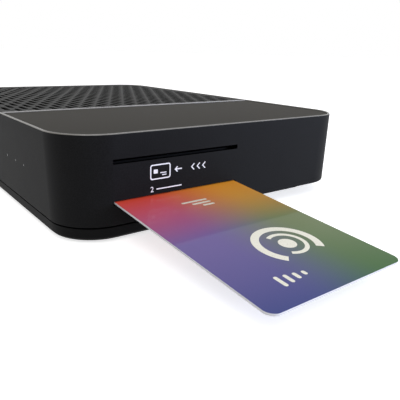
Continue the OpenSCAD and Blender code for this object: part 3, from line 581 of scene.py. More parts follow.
view = {"place": (239.05, -121.32, 64.22), "yaw": 142.47, "pitch": 17.63, "roll": -1.52, "lens": 41.73}
yaw, pitch, roll = (math.radians(view[key]) for key in ("yaw", "pitch", "roll"))
ahead = Vector((math.cos(pitch) * math.cos(yaw), math.cos(pitch) * math.sin(yaw), -math.sin(pitch)))
right = ahead.cross(Vector((0, 0, 1))).normalized()
down = ahead.cross(right)
tiltedRight = right * math.cos(roll) + down * math.sin(roll)
tiltedDown = down * math.cos(roll) - right * math.sin(roll)
cameraData = bpy.data.cameras.new("camera")
cameraData.lens = view["lens"]
cameraData.sensor_width = 36
cameraData.clip_start = 0.01
camera = bpy.data.objects.new("camera", cameraData)
turn = Matrix((tiltedRight, -tiltedDown, -ahead)).transposed().to_4x4()
camera.matrix_world = Matrix.Translation(Vector(view["place"]) / perMetre) @ turn
scene.collection.objects.link(camera)
scene.camera = camera
scene.view_settings.view_transform = "Standard"

lamps = {
    "overhead": {"place": (-0.1, 0.15, 0.9), "size": 1.1, "watts": 2.5, "colour": "#ffffff"},
    "frontLeft": {"place": (-0.75, -0.75, 0.45), "size": 0.7, "watts": 0.1, "colour": "#ffe2b8"},
    "cardSide": {"place": (0.7, -0.45, 0.75), "size": 0.6, "watts": 4.5, "colour": "#ffffff"},
    "lowRight": {"place": (0.8, 0.62, 0.16), "size": 0.35, "watts": 9, "colour": "#d3defc"},
}
for name, lamp in lamps.items():
    light = bpy.data.lights.new(name, "AREA")
    light.energy = lamp["watts"]
    light.color = hexToLinear(lamp["colour"])[:3]
    light.size = lamp["size"]
    thing = bpy.data.objects.new(name, light)
    thing.location = lamp["place"]
    thing.rotation_euler = (-Vector(lamp["place"])).to_track_quat("-Z", "Y").to_euler()
    scene.collection.objects.link(thing)

studio = {"worldLight": 0.35, "floorGlow": 0.7, "floorSize": 40, "floorColour": "#e6e6e6"}


def seenDirectly(tree):
    # 1 for rays from the camera, off gloss and through clear plastic, so that all of them see white
    rays = addNode(tree, "LightPath").outputs
    seen = rays["Is Camera Ray"]
    for kind in ("Is Glossy Ray", "Is Transmission Ray"):
        seen = addNode(tree, "Math", {0: seen, 1: rays[kind]}, operation="MAXIMUM").outputs[0]
    return seen


world = bpy.data.worlds.new("studio")
scene.world = world
world.use_nodes = True
tree = world.node_tree
strength = addNode(tree, "MapRange", {"Value": seenDirectly(tree), "To Min": studio["worldLight"]})
tree.links.new(strength.outputs[0], tree.nodes["Background"].inputs["Strength"])
tree.nodes["Background"].inputs["Color"].default_value = hexToLinear("#ffffff")

floorMesh = bpy.data.meshes.new("floor")
bm = bmesh.new()
bmesh.ops.create_grid(bm, x_segments=1, y_segments=1, size=studio["floorSize"])
bm.to_mesh(floorMesh)
bm.free()
floor = bpy.data.objects.new("floor", floorMesh)
scene.collection.objects.link(floor)
paper, tree, shader, place = newMaterial("Seamless paper, white", Roughness=0.9, Specular_IOR_Level=0.1,
                                         Base_Color=hexToLinear(studio["floorColour"]))
lift = addNode(tree, "Math", {0: seenDirectly(tree), 1: studio["floorGlow"]}, operation="MULTIPLY")
glow = addNode(tree, "Emission", {"Strength": lift.outputs[0]})
both = addNode(tree, "AddShader", {0: shader.outputs[0], 1: glow.outputs[0]})
tree.links.new(both.outputs[0], tree.nodes["Material Output"].inputs["Surface"])
floorMesh.materials.append(paper)
print("camera, lamps and floor set")


# ---- case: shell with its rim, the two top panels and the bead between them

shell = {
    "rimRound": 0.5, "lowerRound": 0.45, "lip": 0.12, "relief": 0.5, "ledgeWide": 3,
    "lampX": (38.1, 49.1, 59.7), "lampZ": 21.2, "lampHole": 0.9, "buttonX": -62, "windowX": -45,
    "buttonZ": 20.2, "buttonHole": 9.6, "windowHole": 7.2, "holeLip": 0.25, "bossX": 89, "bossY": 59.5,
    "rearWide": 160, "rearHigh": 23, "rearZ": 20.5, "rearInset": 0.32, "cutDeep": 6,
}


def makeShell():
    inner = case["caveInset"]
    ledge = inner + shell["ledgeWide"]
    section = [
        (case["lean"], case["shellZ"], shell["lowerRound"]),
        (0.014, case["rimZ"] - 0.8),
        (0.02, case["rimZ"], shell["rimRound"]),
        (case["rim"], case["rimZ"], shell["rimRound"]),
        (case["rim"], case["seatZ"]),
        (ledge, case["seatZ"]),
        (ledge, case["ledgeZ"]),
        (inner, case["ledgeZ"]),
        (inner, case["shellZ"], 0.3),
    ]
    bm = ringSweep(section, case["width"], case["depth"], case["corner"], segments=5)
    half = case["depth"] / 2 - inner
    extras = [box((case["dividerX"] - 4, -half - 1, case["ledgeZ"]),
                  (case["dividerX"] + 4, half + 1, case["seatZ"]))]
    for x in (-1, 1):
        for y in (-1, 1):
            boss = lathe([(0, 21.1), (1.5, 21.1), (1.5, 8.1), (3.5, 8.1, 0.4), (3.5, 35), (0, 35)], 32)
            boss.transform(Matrix.Translation((x * shell["bossX"], y * shell["bossY"], 0)))
            extras.append(boss)
    for extra in extras:
        bm = boolean(bm, extra, "UNION")
    button = frontFace(shell["buttonX"], shell["buttonZ"])
    window = frontFace(shell["windowX"], shell["buttonZ"])
    places = [slotFrame(slots["upperZ"], 0), slotFrame(slots["lowerZ"], slots["tilt"])]
    holes = [(place, slots["width"], slots["height"], 8, shell["lip"], 4, shell["relief"])
             for place in places]
    deep = shell["cutDeep"]
    opening = rearFace(0, shell["rearZ"], case["depth"] / 2 - shell["rearInset"])
    holes += [(button, shell["buttonHole"], shell["buttonHole"], deep, shell["holeLip"], 48),
              (window, shell["windowHole"], shell["windowHole"], deep, 0.2, 40),
              (opening, shell["rearWide"], shell["rearHigh"], deep, 0.5)]
    holes += [(frontFace(x, shell["lampZ"]), shell["lampHole"], shell["lampHole"], deep, 0.05, 20)
              for x in shell["lampX"]]
    for hole in holes:
        bm = boolean(bm, mouthCutter(*hole))
    for face in bm.faces:
        middle = face.calc_center_median()
        # the rim's upward faces take the pale finish that paints the rim's highlight
        if middle.z > case["rimZ"] - 0.6 and face.normal.z > 0.45:
            face.material_index = 1
        # faces inside the two slots, the chamfers too, take the near black painted shade
        level = min(abs(middle.z - slots["upperZ"]), abs(middle.z - slots["lowerZ"])) < 2
        across = abs(middle.y - slots["y"]) < slots["width"] / 2 + 1
        within = 0.03 < sideX(middle.z) - middle.x < case["wall"] - 0.02
        if level and across and within and face.normal.x < 0.8:
            face.material_index = 3
    finish("topShell", printed(bm, slotMarks(), 2), "case", "shell_plastic", "top_shell",
           rimHighlight, whiteInk, slotShade)


def slotMarks():
    # printed beside the slots: a card outline with its contacts, an arrow, chevrons and the slot's number
    flat = cardSide(0, 20)
    thick = 0.02
    deep = flat @ Matrix.Scale(3, 4, (0, 0, 1))
    marks = [boolean(plateMark(flat, -34.4, 3.3, 8.6, 5.6, thick, 0.9),
                     plateMark(deep, -34.4, 3.3, 7.7, 4.7, thick, 0.5)),
             plateMark(flat, -36.4, 3.5, 1.7, 1.5, thick, 0.2)]
    marks += [plateMark(flat, -33.2 + 0.4 * step, 2 + 0.8 * (step == 0), 2.6 - 0.8 * step, 0.35, thick)
              for step in range(2)]
    marks += [pointMark(flat, -28, 3.3, 1.6, 0.45, thick, math.pi, 3)]
    marks += [pointMark(flat, -20.6 + 2.6 * step, 3.3, 1.9, 0.42, thick, math.pi) for step in range(3)]
    marks += [textMesh("2", 2.9, flat @ Matrix.Translation((-37.9, -3.1, 0)), thick),
              plateMark(flat, -30.6, -3.1, 11, 0.4, thick)]
    return marks


panels = {"thick": 2, "edge": 0.3, "beadRoom": 0.775, "beadWide": 1.02, "beadRound": 0.42}
vents = {
    "pitchX": 15.06, "pitchY": 3.94, "firstX": -14.4, "firstY": 6.5, "rows": 33, "columns": 11,
    "long": 12, "wide": 2.2, "taper": 1.6, "border": 3, "lip": 0.22, "deep": 3, "leastArea": 2.5,
}


def makeTopPanels():
    inset = case["rim"] + case["gap"]
    edge = {"x": case["width"] / 2 - inset, "y": case["depth"] / 2 - inset}
    radius = case["corner"] - inset
    top = case["seatZ"] + panels["thick"]
    start = case["dividerX"] + panels["beadRoom"]
    bm = panelPlate((start, -edge["y"], case["seatZ"]), (edge["x"], edge["y"], top), radius,
                    lambda mid: mid.x > start + 1, panels["edge"])
    finish("smoothPanel", bm, "case", "panel_plastic", "smooth_panel")
    end = case["dividerX"] - panels["beadRoom"]
    bm = panelPlate((-edge["x"], -edge["y"], case["seatZ"]), (end, edge["y"], top), radius,
                    lambda mid: mid.x < end - 1, panels["edge"])
    finish("ventGrille", boolean(bm, ventCutters(end, edge, radius, top)), "case", "grille_plastic",
           "vent_grille")


def ventLimits(end, edge, radius, border):
    # planes that trim the slots to an even border, eight of them round each corner
    limits = [((end - border, 0), (1, 0)), ((border - edge["x"], 0), (-1, 0)),
              ((0, edge["y"] - border), (0, 1)), ((0, border - edge["y"]), (0, -1))]
    for side in (-1, 1):
        for step in range(1, 9):
            angle = math.pi / 2 * step / 9
            way = Vector((-math.cos(angle), side * math.sin(angle)))
            centre = Vector((radius - edge["x"], side * (edge["y"] - radius)))
            limits.append((centre + way * (radius - border), way))
    return limits


def ventCutters(end, edge, radius, top):
    # pointed slots in staggered rows, trimmed to the border, each opening out at the top
    wide = vents["wide"] / 2 + vents["lip"]
    long = vents["long"] / 2 + vents["lip"]
    bm = bmesh.new()
    bmesh.ops.create_circle(bm, cap_ends=True, segments=6, radius=1,
                            matrix=Matrix.Rotation(math.pi / 2, 4, "Z"))
    bmesh.ops.scale(bm, vec=(2 * vents["taper"], wide / math.cos(math.pi / 6), 1), verts=bm.verts)
    for way in (-1, 1):
        bmesh.ops.translate(bm, vec=(way * (long - 2 * vents["taper"]), 0, 0),
                            verts=[v for v in bm.verts if v.co.x * way > 0])
    one = everything(bm)
    for row in range(vents["rows"]):
        for column in range(vents["columns"]):
            copy = bmesh.ops.duplicate(bm, geom=one)["geom"]
            place = (case["dividerX"] + vents["firstX"] + vents["pitchX"] * (row % 2 / 2 - column + 1),
                     vents["firstY"] - case["depth"] / 2 + vents["pitchY"] * row, 0)
            bmesh.ops.translate(bm, vec=place, verts=vertsIn(copy))
    bmesh.ops.delete(bm, geom=one, context="VERTS")
    for place, way in ventLimits(end, edge, radius, vents["border"] - vents["lip"]):
        bmesh.ops.bisect_plane(bm, geom=everything(bm), plane_co=(*place, 0), plane_no=(*way, 0),
                               clear_outer=True, dist=0.0001)
    small = [f for f in bm.faces if f.calc_area() < vents["leastArea"]]
    bmesh.ops.delete(bm, geom=small, context="FACES")
    bmesh.ops.translate(bm, vec=(0, 0, top), verts=bm.verts)
    rise = bmesh.ops.extrude_face_region(bm, geom=bm.faces[:], use_keep_orig=True)["geom"]
    bmesh.ops.translate(bm, vec=(0, 0, 0.5), verts=vertsIn(rise))
    lower = [f for f in bm.faces if f.calc_center_median().z < top + 0.01]
    bmesh.ops.inset_individual(bm, faces=lower, thickness=vents["lip"], depth=0, use_even_offset=True)
    bmesh.ops.translate(bm, vec=(0, 0, -vents["lip"]), verts=list({v for f in lower for v in f.verts}))
    deep = bmesh.ops.extrude_discrete_faces(bm, faces=lower)["faces"]
    bmesh.ops.translate(bm, vec=(0, 0, -vents["deep"]), verts=list({v for f in deep for v in f.verts}))
    return closeUp(bm)


def makeBead():
    half = case["depth"] / 2 - case["rim"] - case["gap"]
    x = case["dividerX"]
    top = case["rimZ"]
    wide = panels["beadWide"] / 2
    bm = box((x - wide, -half, case["seatZ"]), (x + wide, half, top))
    roundOff(bm, panels["beadRound"], lambda mid, way: foreAndAft(mid, way) and mid.z > top - 0.01, 5)
    # its finish is pale grey, a painted highlight along the bead
    finish("dividerBead", bm, "case", "trim_plastic", "divider_strip")


makeShell()
makeTopPanels()
makeBead()
print("shell and top made")


# ---- smart card, half out of the lower slot

card = {
    "long": 85.6, "wide": 53.98, "thick": 0.76, "corner": 3.18, "inside": 10.4, "edge": 0.07,
    "padsLong": 11.4, "padsWide": 12.6, "padGap": 0.24, "padColumn": 2.1, "padPitch": 3, "emblemX": 51,
}


def cardFrame():
    # X along the card outwards, Y across it to the rear, Z up off its face, at the case's face
    turn = Matrix(((0, 1, 0, 0), (0, 0, 1, 0), (1, 0, 0, 0), (0, 0, 0, 1)))
    return slotFrame(slots["lowerZ"], slots["tilt"]) @ turn


def makeCard():
    wide = card["wide"] / 2
    thick = card["thick"] / 2
    bm = box((-card["inside"], -wide, -thick), (card["long"] - card["inside"], wide, thick))
    roundOff(bm, card["corner"], upright, 10)
    roundOff(bm, card["edge"], lyingFlat, 2)
    for face in bm.faces:
        face.material_index = 0 if abs(face.normal.z) > 0.9 else 1
    top = Matrix.Translation((0, 0, thick))
    ink = 0.012
    arcs = [(8.6, 11.2, 0.9, 4.6, 60), (5.2, 6.6, -0.6, 4.3, 48), (0.02, 2.9, 0, fullTurn, 36)]
    marks = [arcMark(top, card["emblemX"], 4, inner, outer, start, sweep, ink, steps)
             for inner, outer, start, sweep, steps in arcs]
    marks += [plateMark(top, 65.5, -14 + 3 * step, 5 - step, 1.3, ink, 0.6) for step in range(4)]
    marks += [plateMark(top, 11 + 2.2 * step, -1.5 + 1.6 * step, 1.1, 11 - 3 * step, ink, 0.5)
              for step in range(3)]
    bm = printed(bm, marks, 2)
    bm.transform(cardFrame())
    finish("smartCard", bm, "card", "card_plastic", "smart_card", cardCore, creamInk)


def makeChip():
    # eight contact pads, parted by fine grooves, on the card's underside
    low = Vector((-1.1, -9.4, -card["thick"] / 2))
    high = low + Vector((card["padsLong"], card["padsWide"], 0.2))
    middle = (low + high) / 2
    bm = box(low, high)
    roundOff(bm, 1.2, upright, 6)
    gap = card["padGap"] / 2
    under = low.z - 0.1
    into = low.z + 0.06
    columns = [middle.x - card["padColumn"], middle.x + card["padColumn"]]
    for x in columns:
        bm = boolean(bm, box((x - gap, low.y - 1, under), (x + gap, high.y + 1, into)))
    for start, stop in ((low.x - 1, columns[0]), (columns[1], high.x + 1)):
        for row in (-1, 0, 1):
            y = middle.y + row * card["padPitch"]
            bm = boolean(bm, box((start, y - gap, under), (stop, y + gap, into)))
    bm.transform(cardFrame())
    finish("cardChip", bm, "card", "contact_gold", "card_chip")


makeCard()
makeChip()
print("card made")


# ---- front: standby button and infrared window

front = {"buttonFace": 70.28, "buttonRound": 0.45, "dish": 0.16, "windowFace": 69.63, "windowRise": 0.5,
         "ink": 0.03}


def makeFront():
    # turned about a line out of the front, with heights measured from the case's middle
    face = front["buttonFace"]
    hollow = face - front["dish"]
    bm = lathe([(0, 65.7), (6, 65.7), (6, 66.69, 0.15), (4.5, 66.69), (4.5, face, front["buttonRound"]),
                (3.7, face, 0.25), (3.3, hollow, 0.25), (0, hollow)], 64)
    top = Matrix.Translation((0, 0, hollow))
    marks = [arcMark(top, 0, -0.15, 1.3, 1.62, math.radians(125), math.radians(290), front["ink"], 40),
             plateMark(top, 0, 1.15, 0.34, 1.6, front["ink"])]
    bm = printed(bm, marks, 1)
    bm.transform(faceFrame((shell["buttonX"], 0, shell["buttonZ"]), (0, -1, 0)))
    finish("standbyButton", bm, "standby", "button_plastic", "standby_button", whiteInk)
    face = front["windowFace"]
    edge = face - front["windowRise"]
    bm = lathe([(0, 65.9), (4.5, 65.9), (4.5, 66.89, 0.15), (3.5, 66.89), (3.5, edge, 0.2),
                (2.5, edge + 0.3, 0.4), (1.2, 69.6, 0.4), (0, face)], 56,
               place=faceFrame((shell["windowX"], 0, shell["buttonZ"]), (0, -1, 0)))
    finish("infraredWindow", bm, "case", "window_plastic", "infrared_window")


makeFront()
print("button and window made")


# ---- base tray and feet

base = {
    "edges": (1.2, 2.2, 5.5), "round": 0.3, "footX": 75, "footY": 45, "footRadius": 7, "footRound": 0.35,
    "footRing": 0.25, "ringRound": 0.1,
}


def isOuterEdge(mid, way):
    # a level edge of the tray that isn't round a foot or a screw
    near = min(abs(mid.z - z) for z in base["edges"])
    foot = math.hypot(abs(mid.x) - base["footX"], abs(mid.y) - base["footY"]) < 9
    screw = math.hypot(abs(mid.x) - shell["bossX"], abs(mid.y) - shell["bossY"]) < 5
    outside = max(abs(mid.x) - 40, abs(mid.y)) > 44
    return near < 0.01 and lyingFlat(mid, way) and outside and not foot and not screw


def makeBase():
    bm = roundOff(cadCopy("base_tray"), base["round"], isOuterEdge, 2)
    finish("baseTray", bm, "case", "base_plastic", "base_tray")
    radius = base["footRadius"]
    ring = base["footRing"]
    small = base["ringRound"]
    foot = [(0, 0.3), (2.8, 0.3, 0.12), (3.1, 0, 0.12), (4.6, 0, small), (4.8, ring, small),
            (5.4, ring, small), (5.6, 0, small), (radius, 0, base["footRound"]), (radius, 1.7), (0, 1.7)]
    feet = [lathe(foot, 48, place=Matrix.Translation((x, y, 0)))
            for x in (-base["footX"], base["footX"]) for y in (-base["footY"], base["footY"])]
    finish("rubberFeet", joined(*feet), "case", "foot_rubber", "rubber_feet")


makeBase()
print("base and feet made")


# ---- rear panel and its sockets

rear = {
    "holeEdge": 0.25, "thick": 0.03, "aerialX": (42, 62), "aerialZ": 19, "pitch": 0.794, "turns": 10,
    "stepsPerTurn": 28, "arrowZ": 30.2, "boardZ": 10, "stand": 0.4, "blockY": 64.89,
}
case["socketY"] = case["rearY"] + rear["stand"]  # where the sheet metal sockets end

# the panel's openings: x, z and a radius, or x, z, half the width and half the height
roundHoles = [(x, rear["aerialZ"], 5.06) for x in rear["aerialX"]]
roundHoles += [(-35, 17, 4.45), (-46, 14, 3.7), (-56, 15.6, 4.7)]
squareHoles = [(18, 13, 7.8, 3.2), (-2, 16.7, 8.3, 7), (-20, 14, 7, 3.25), (-71, 20, 7.1, 4.6)]


def isHoleEdge(mid, way):
    # a rim of one of the openings in the panel's outer face
    inFace = abs(mid.y - case["rearY"]) < 0.01 and abs(way.y) < 0.1
    inside = abs(mid.x) < 82.5 and 8.5 < mid.z < 33.7
    off = [math.hypot(mid.x - x, mid.z - z) - radius for x, z, radius in roundHoles]
    off += [max(abs(mid.x - x) - w, abs(mid.z - z) - h) for x, z, w, h in squareHoles]
    return inFace and inside and min(abs(far) for far in off) < 0.06


def makeRearPanel():
    bm = roundOff(cadCopy("rear_panel"), rear["holeEdge"], isHoleEdge, 2)
    flat = rearFace(0, 0, case["rearY"])
    marks = []
    for x, way in zip(rear["aerialX"], (1, -1)):  # signal out of one and into the other
        z = rear["arrowZ"] + way * 1.2
        marks.append(pointMark(flat, -x, z, 1.35, 0.42, rear["thick"], way * math.pi / 2, 2.4))
    finish("rearPanel", printed(bm, marks, 1), "case", "rear_plastic", "rear_panel", whiteInk)


def threadedBarrel():
    # a turned core with a tooth wound round it, cut to the thread's outline
    core = lathe([(0, 59.49), (2.9, 59.49), (2.9, 62.89), (6.4, 62.89, 0.2), (6.4, 64.93, 0.2),
                  (4.4, 64.93), (4.4, 70), (4.22, 70.1), (4.22, 77.6), (3.95, 77.98), (3.4, 77.98),
                  (3.2, 77.8), (3.2, 64.99), (0, 64.99)], 56)
    helix = bmesh.new()
    tooth = sectionLine(helix, [(4.15, 69.95), (4.76, 70.27), (4.76, 70.35), (4.15, 70.67)], closed=True)
    steps = rear["turns"] * rear["stepsPerTurn"]
    bmesh.ops.spin(helix, geom=tooth, cent=(0, 0, 0), axis=(0, 0, 1), angle=fullTurn * rear["turns"],
                   dvec=(0, 0, rear["pitch"] / rear["stepsPerTurn"]), steps=steps, use_merge=False)
    helix.transform(Matrix.Rotation(0.03, 4, "Z"))  # its seams lie beside the core's
    whole = boolean(core, closeUp(helix), "UNION")
    envelope = lathe([(0, 59), (8, 59), (8, 69.9), (4.78, 69.9), (4.78, 77.15), (4, 77.97),
                      (0, 77.97)], 56)
    return boolean(whole, envelope, "INTERSECT")


def hexNut():
    radius = 6.9
    bm = loft([(2, 2, 67.49), (2, 2, 69.88)], 6)
    bm.transform(Matrix.Rotation(math.radians(45), 4, "Z") @ Matrix.Diagonal((radius, radius, 1, 1)))
    shape = lathe([(0, 67.49), (6.3, 67.49), (radius, 67.85), (radius, 69.5), (6.3, 69.88),
                   (0, 69.88)], 72)
    bore = lathe([(0, 67), (4.8, 67), (4.8, 67.49), (4.46, 67.8), (4.46, 69.6), (4.8, 69.88), (4.8, 70.5),
                  (0, 70.5)], 48)
    return boolean(boolean(bm, shape, "INTERSECT"), bore)


def insulator():
    return lathe([(0, 64.99), (3.15, 64.99), (3.15, 77.38, 0.2), (1.1, 77.38, 0.1), (0.6, 77),
                  (0.6, 70.99), (0, 70.99)], 40)


def washer():
    return lathe([(4.86, 66.79), (7.2, 66.79), (7.2, 67.48, 0.15), (4.86, 67.48, 0.1)], 56, hollow=True)


def makePair(name, made, slot, node):
    # one for each aerial connector, turned about a line out of the rear
    pair = []
    for x in rear["aerialX"]:
        one = made()
        one.transform(rearFace(x, rear["aerialZ"], 0))
        pair.append(one)
    finish(name, joined(*pair), "case", slot, node)


def makeAerials():
    makePair("aerialConnectors", threadedBarrel, "connector_nickel", "aerial_connectors")
    makePair("aerialInsulators", insulator, "pale_plastic", "aerial_insulators")
    makePair("connectorWashers", washer, "connector_nickel", "connector_washers")
    makePair("connectorNuts", hexNut, "connector_nickel", "connector_nuts")


pressed = {
    "hdmiSocket": {"x": 18, "z": 13, "width": 15, "height": 5.8, "depth": 12, "mouth": 10.5,
                   "corners": {-1: 1.5, 1: 0.5}, "legsApart": 6.5, "legHalf": 0.8, "legY": 59.19,
                   "legTop": 10.4, "node": "hdmi_socket"},
    "usbSocket": {"x": -20, "z": 14, "width": 13.4, "height": 5.9, "depth": 14, "mouth": 12.5,
                  "corners": {-1: 0.6, 1: 0.6}, "legsApart": 5.6, "legHalf": 1, "legY": 57.19,
                  "legTop": 11.2, "node": "usb_socket"},
}


def pressedShell(socket):
    # folded sheet round a mouth: the end face is inset by the sheet's thickness and pushed in
    end = case["socketY"]
    x = socket["x"]
    z = socket["z"]
    across = socket["width"] / 2
    up = socket["height"] / 2
    bm = box((x - across, end - socket["depth"], z - up), (x + across, end, z + up))
    for side, size in socket["corners"].items():
        steps = 3 if size < 1 else 1
        roundOff(bm, size, lambda mid, way: foreAndAft(mid, way) and (mid.z - z) * side > 0, steps)
    face = max(bm.faces, key=lambda f: f.calc_center_median().y)
    for thickness in (0.12, 0.28):
        bmesh.ops.inset_region(bm, faces=[face], thickness=thickness, depth=0, use_even_offset=True)
    deep = bmesh.ops.extrude_discrete_faces(bm, faces=[face])["faces"]
    bmesh.ops.translate(bm, vec=(0, -socket["mouth"], 0), verts=deep[0].verts)
    outer = [e for e in bm.edges
             if all(abs(v.co.y - end) < 0.001 for v in e.verts) and e.calc_face_angle(0) > 1]
    return soften(bm, outer, 0.12, 2)


def makePressed():
    # each pressed socket stands on two legs
    for name, socket in pressed.items():
        half = socket["legHalf"]
        legs = []
        for side in (-1, 1):
            x = socket["x"] + side * socket["legsApart"]
            legs.append(box((x - half, socket["legY"], rear["boardZ"]),
                            (x + half, socket["legY"] + 1.6, socket["legTop"])))
        finish(name, joined(pressedShell(socket), *legs), "case", "sheet_steel", socket["node"])


network = {
    "x": -2, "half": 8, "back": 46.19, "top": 23.4, "lightsApart": 5.7, "lightZ": 11.7,
    "mouth": {"half": 5.9, "back": 53.69, "low": 14.4, "high": 21.6},
    "latch": {"half": 3, "back": 57.19, "low": 12.2, "high": 14.5},
}


def makeNetworkSocket():
    # a steel can with a moulded insert in its mouth and two lights under it
    end = case["socketY"]
    x = network["x"]
    bm = box((x - network["half"], network["back"], rear["boardZ"]),
             (x + network["half"], end, network["top"]))
    roundOff(bm, 0.35, lambda mid, way: foreAndAft(mid, way) or mid.y > end - 0.01, 3)
    for hole in (network["mouth"], network["latch"]):
        bm = boolean(bm, box((x - hole["half"], hole["back"], hole["low"]),
                             (x + hole["half"], end + 1, hole["high"])))
    for face in bm.faces:
        middle = face.calc_center_median()
        inside = abs(middle.x - x) < 6 and abs(middle.z - 16.9) < 4.9
        if inside and 46.5 < middle.y < end - 0.05:
            face.material_index = 3
    for index, side in ((1, -1), (2, 1)):
        place = rearFace(x + side * network["lightsApart"], network["lightZ"], end)
        bm = printed(bm, [plateMark(place, 0, 0, 2.2, 1.5, rear["thick"], 0.2)], index)
    finish("networkSocket", bm, "case", "sheet_steel", "network_socket",
           clearResin("Lamp resin, amber", "#c77a12", 0.2, 0.2),
           clearResin("Lamp resin, green", "#3f8f35", 0.2, 0.2), finishes["socket_plastic"])


audio = {"x": -35, "z": 17, "half": 5, "back": 52.89, "top": 22.4, "barrel": 4.15}


def makeAudioSocket():
    body = box((audio["x"] - audio["half"], audio["back"], rear["boardZ"]),
               (audio["x"] + audio["half"], rear["blockY"], audio["top"]))
    roundOff(body, 0.5, foreAndAft, 3)
    radius = audio["barrel"]
    barrel = lathe([(0, 64.5), (3.8, 64.5), (3.8, 66.8), (radius, 66.8), (radius, 75.18, 0.3),
                    (3.2, 75.18, 0.12), (3.1, 74.8), (1.95, 74.8, 0.15), (1.65, 74.5), (1.65, 66.19),
                    (0, 66.19)], 56)
    for face in barrel.faces:
        middle = face.calc_center_median()
        face.material_index = 1 if middle.z > 66.7 and math.hypot(middle.x, middle.y) > 3.08 else 0
    barrel.transform(rearFace(audio["x"], audio["z"], 0))
    finish("digitalAudioSocket", joined(body, barrel), "case", "audio_plastic", "digital_audio_socket",
           finishes["connector_nickel"])


jacks = {
    "avJack": {"x": -46, "z": 14, "half": 3.8, "low": 50.89, "top": 18, "collar": 3.4, "out": 67.98,
               "bore": 1.8, "deep": 53.99, "slot": "av_plastic", "node": "av_jack"},
    "powerInlet": {"x": -56, "z": 15.6, "half": 4.5, "low": 51.39, "top": 21, "collar": 4.4, "out": 67.18,
                   "bore": 3.2, "deep": 57.19, "slot": "socket_plastic", "node": "power_inlet"},
}


def makeJacks():
    # a block with a round collar, bored from behind with a small lead-in
    for name, jack in jacks.items():
        place = rearFace(jack["x"], jack["z"], 0)
        collar = jack["collar"]
        bore = jack["bore"]
        wide = bore + 0.35
        out = jack["out"]
        bm = box((jack["x"] - jack["half"], jack["low"], rear["boardZ"]),
                 (jack["x"] + jack["half"], rear["blockY"], jack["top"]))
        roundOff(bm, 0.4, foreAndAft, 3)
        ring = lathe([(0, 64), (collar, 64), (collar, out, 0.35), (0, out)], 56, place=place)
        hole = lathe([(0, jack["deep"]), (bore, jack["deep"]), (bore, out - 0.35), (wide, out),
                      (wide, out + 1), (0, out + 1)], 48, place=place)
        bm = boolean(boolean(bm, ring, "UNION"), hole)
        finish(name, bm, "case", jack["slot"], jack["node"])
    inlet = jacks["powerInlet"]
    bm = lathe([(0, inlet["deep"]), (1.05, inlet["deep"]), (1.05, 65.98, 0.45), (0, 65.98)], 32,
               place=rearFace(inlet["x"], inlet["z"], 0))
    finish("powerInletPin", bm, "case", "connector_nickel", "power_inlet_pin")


rocker = {
    "x": -71, "z": 20, "y": 64.19, "tilt": math.radians(-12), "round": 0.3, "wide": 6.4, "end": 5.3,
    "endZ": 4.6, "middleZ": 3.5, "markX": 3.4,
}


def makeSwitch():
    bm = cadCopy("power_switch")
    roundOff(bm, 0.35, lambda mid, way: mid.y > case["rearY"] + 1.38 and abs(way.y) < 0.1, 3)
    finish("powerSwitch", bm, "case", "socket_plastic", "power_switch")
    end = rocker["end"]
    high = rocker["endZ"]
    fall = high - rocker["middleZ"]
    bm = bmesh.new()
    sectionLine(bm, [(-end, high, rocker["round"]), (0, rocker["middleZ"], 1.3),
                     (end, high, rocker["round"]), (end, 2, 0.4), (2.2, -3, 0.4), (-2.2, -3, 0.4),
                     (-end, 2, 0.4)], closed=True)
    carried(bm, bm.edges[:], (0, rocker["wide"], 0))
    closeUp(bm)
    roundOff(bm, 0.25, lambda mid, way: abs(way.y) < 0.1 and mid.z > 3.3, 2)
    bmesh.ops.translate(bm, vec=(0, -rocker["wide"] / 2, 0), verts=bm.verts)
    pins = lathe([(0, -3.84), (0.8, -3.84, 0.15), (0.8, 3.84, 0.15), (0, 3.84)], 24,
                 place=Matrix.Rotation(math.pi / 2, 4, "X"))
    slope = math.atan2(fall, end)
    flats = [faceFrame((side * rocker["markX"], 0, high - (end - rocker["markX"]) * fall / end),
                       (-side * math.sin(slope), 0, math.cos(slope)), (0, 1, 0)) for side in (-1, 1)]
    marks = [arcMark(flats[0], 0, 0, 0.62, 0.94, 0, fullTurn, rear["thick"], 32),
             plateMark(flats[1], 0, 0, 0.32, 2.0, rear["thick"])]
    bm = printed(joined(bm, pins), marks, 1)
    turn = Matrix.Rotation(rocker["tilt"], 4, "Z") @ Matrix.Rotation(-math.pi / 2, 4, "X")
    bm.transform(Matrix.Translation((rocker["x"], rocker["y"], rocker["z"])) @ turn)
    finish("powerRocker", bm, "rocker", "rocker_plastic", "power_rocker", whiteInk)


makeRearPanel()
makeAerials()
makePressed()
makeNetworkSocket()
makeAudioSocket()
makeJacks()
makeSwitch()
print("rear made")


# ---- inside: what stands on the boards, seen through the grille

slotOf = {part["node"]: part["material_slot"] for part in record["subparts"]}


def standFor(node, bm, *extra):
    # a piece for one CAD part, named after it and with its slot's finish
    name = "inner" + "".join(word.capitalize() for word in node.split("_"))
    finish(name, bm, "case", slotOf[node], node, *extra)


def looseBoxes(node):
    # lowest and highest corner of each loose part of a CAD part
    bm = cadCopy(node)
    waiting = set(bm.verts)
    boxes = []
    while waiting:
        stack = [waiting.pop()]
        group = []
        while stack:
            vert = stack.pop()
            group.append(vert.co.copy())
            for other in (edge.other_vert(vert) for edge in vert.link_edges):
                if other in waiting:
                    waiting.remove(other)
                    stack.append(other)
        boxes.append([Vector([round(end(co[i] for co in group), 3) for i in range(3)])
                      for end in (min, max)])
    bm.free()
    return sorted(boxes, key=lambda pair: tuple(pair[0]))


def underneath(low, high):
    # the middle of a box's lower face
    return ((low.x + high.x) / 2, (low.y + high.y) / 2, low.z)


